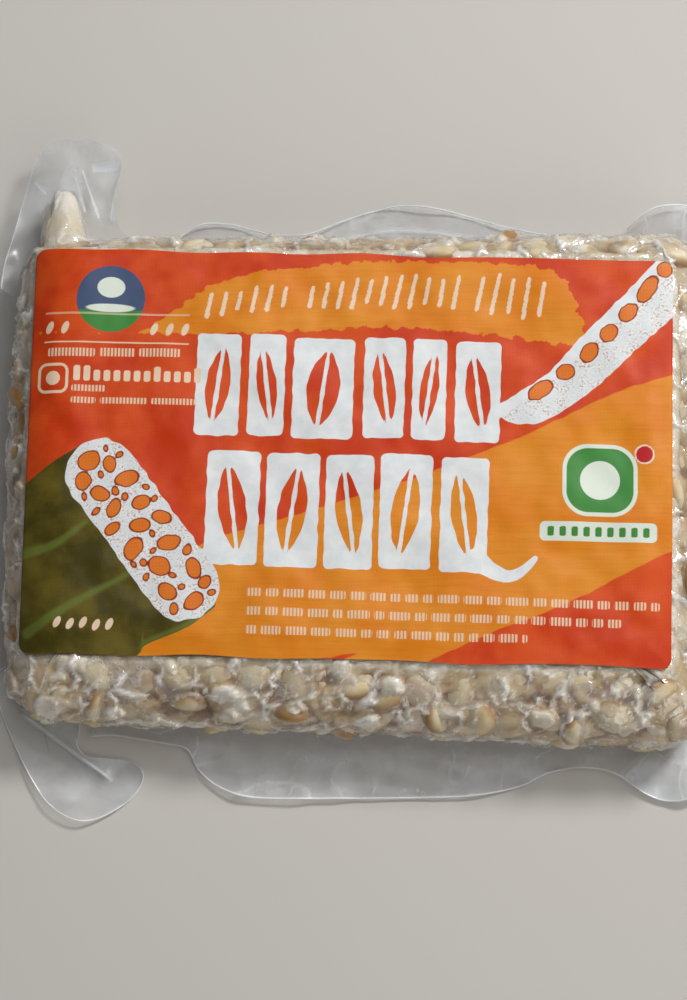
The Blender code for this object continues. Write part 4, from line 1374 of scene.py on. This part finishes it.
def make_floor():
    """A plain pale floor: one square, three metres out from its middle on each side."""
    f = Finish("pale_floor")
    soft = f.noise(6.0, 2.0)
    colour = f.blend(soft, srgb(204, 200, 195), srgb(209, 205, 200))
    material = f.finish(f.surface(colour, 0.8))
    size = 3.0
    mesh = bpy.data.meshes.new("floor")
    corners = [(-size, -size, 0.0), (size, -size, 0.0), (size, size, 0.0), (-size, size, 0.0)]
    mesh.from_pydata(corners, [], [(0, 1, 2, 3)])
    mesh.materials.append(material)
    floor = bpy.data.objects.new("floor", mesh)
    bpy.context.collection.objects.link(floor)


def add_area_light(name, place, target, size, watts, colour):
    """A round soft light at a place, turned so that it shines on its target."""
    lamp = bpy.data.lights.new(name, "AREA")
    lamp.shape = "DISK"
    lamp.size = size
    lamp.energy = watts
    lamp.color = colour
    made = bpy.data.objects.new(name, lamp)
    made.location = place
    made.rotation_euler = (Vector(target) - Vector(place)).to_track_quat("-Z", "Y").to_euler()
    bpy.context.collection.objects.link(made)


def light_stage():
    """A large soft window high on the right, a broad overhead fill and a dim room."""
    add_area_light("window", (0.42, 0.44, 0.58), (0.0, 0.0, 0.0), 0.20, 4.4, (1.0, 0.985, 0.96))
    add_area_light("overhead", (0.20, 0.50, 1.1), (0.0, 0.0, 0.0), 1.0, 3.5, (0.95, 0.98, 1.0))
    add_area_light("front fill", (0.45, -0.65, 0.55), (0.0, 0.0, 0.0), 0.7, 2.4, (1.0, 0.96, 0.90))
    world = bpy.data.worlds.new("room")
    world.use_nodes = True
    world.node_tree.nodes["Background"].inputs[0].default_value = (0.95, 0.97, 1.0, 1.0)
    world.node_tree.nodes["Background"].inputs[1].default_value = 0.10
    bpy.context.scene.world = world
    bpy.context.scene.view_settings.view_transform = "Standard"


def aim_camera():
    """A long lens well above the front, looking steeply down on the label."""
    elevation, distance, roll = np.radians(79.0), 0.5636, np.radians(1.05)
    target = Vector((-0.0029, -0.0052, HEIGHT * MM))
    offset = Vector((0.0, -np.cos(elevation), np.sin(elevation))) * distance
    camera = bpy.data.objects.new("camera", bpy.data.cameras.new("camera"))
    camera.data.lens = 110.0
    camera.data.sensor_width = 36.0
    camera.location = target + offset
    turn = (-offset).to_track_quat("-Z", "Y").to_matrix().to_4x4()
    camera.rotation_euler = (turn @ Matrix.Rotation(roll, 4, "Z")).to_euler()
    bpy.context.collection.objects.link(camera)
    bpy.context.scene.camera = camera


def main():
    """Makes every piece, then the stage, the light and the camera."""
    beans = bean_layout()
    make_core(beans)
    make_beans(beans)
    make_skin(beans)
    rim_film = film_finish(
        "free_film", 0.11, srgb(236, 239, 243), 0.28, (0.972, 0.975, 0.98), 0.024, 0.0002, 0.0
    )
    make_front_film(rim_film)
    make_back_rim(rim_film)
    make_front_left_ear(rim_film)
    make_back_right_ear(rim_film)
    make_back_left_ear(rim_film)
    make_label()
    make_floor()
    light_stage()
    aim_camera()


main()
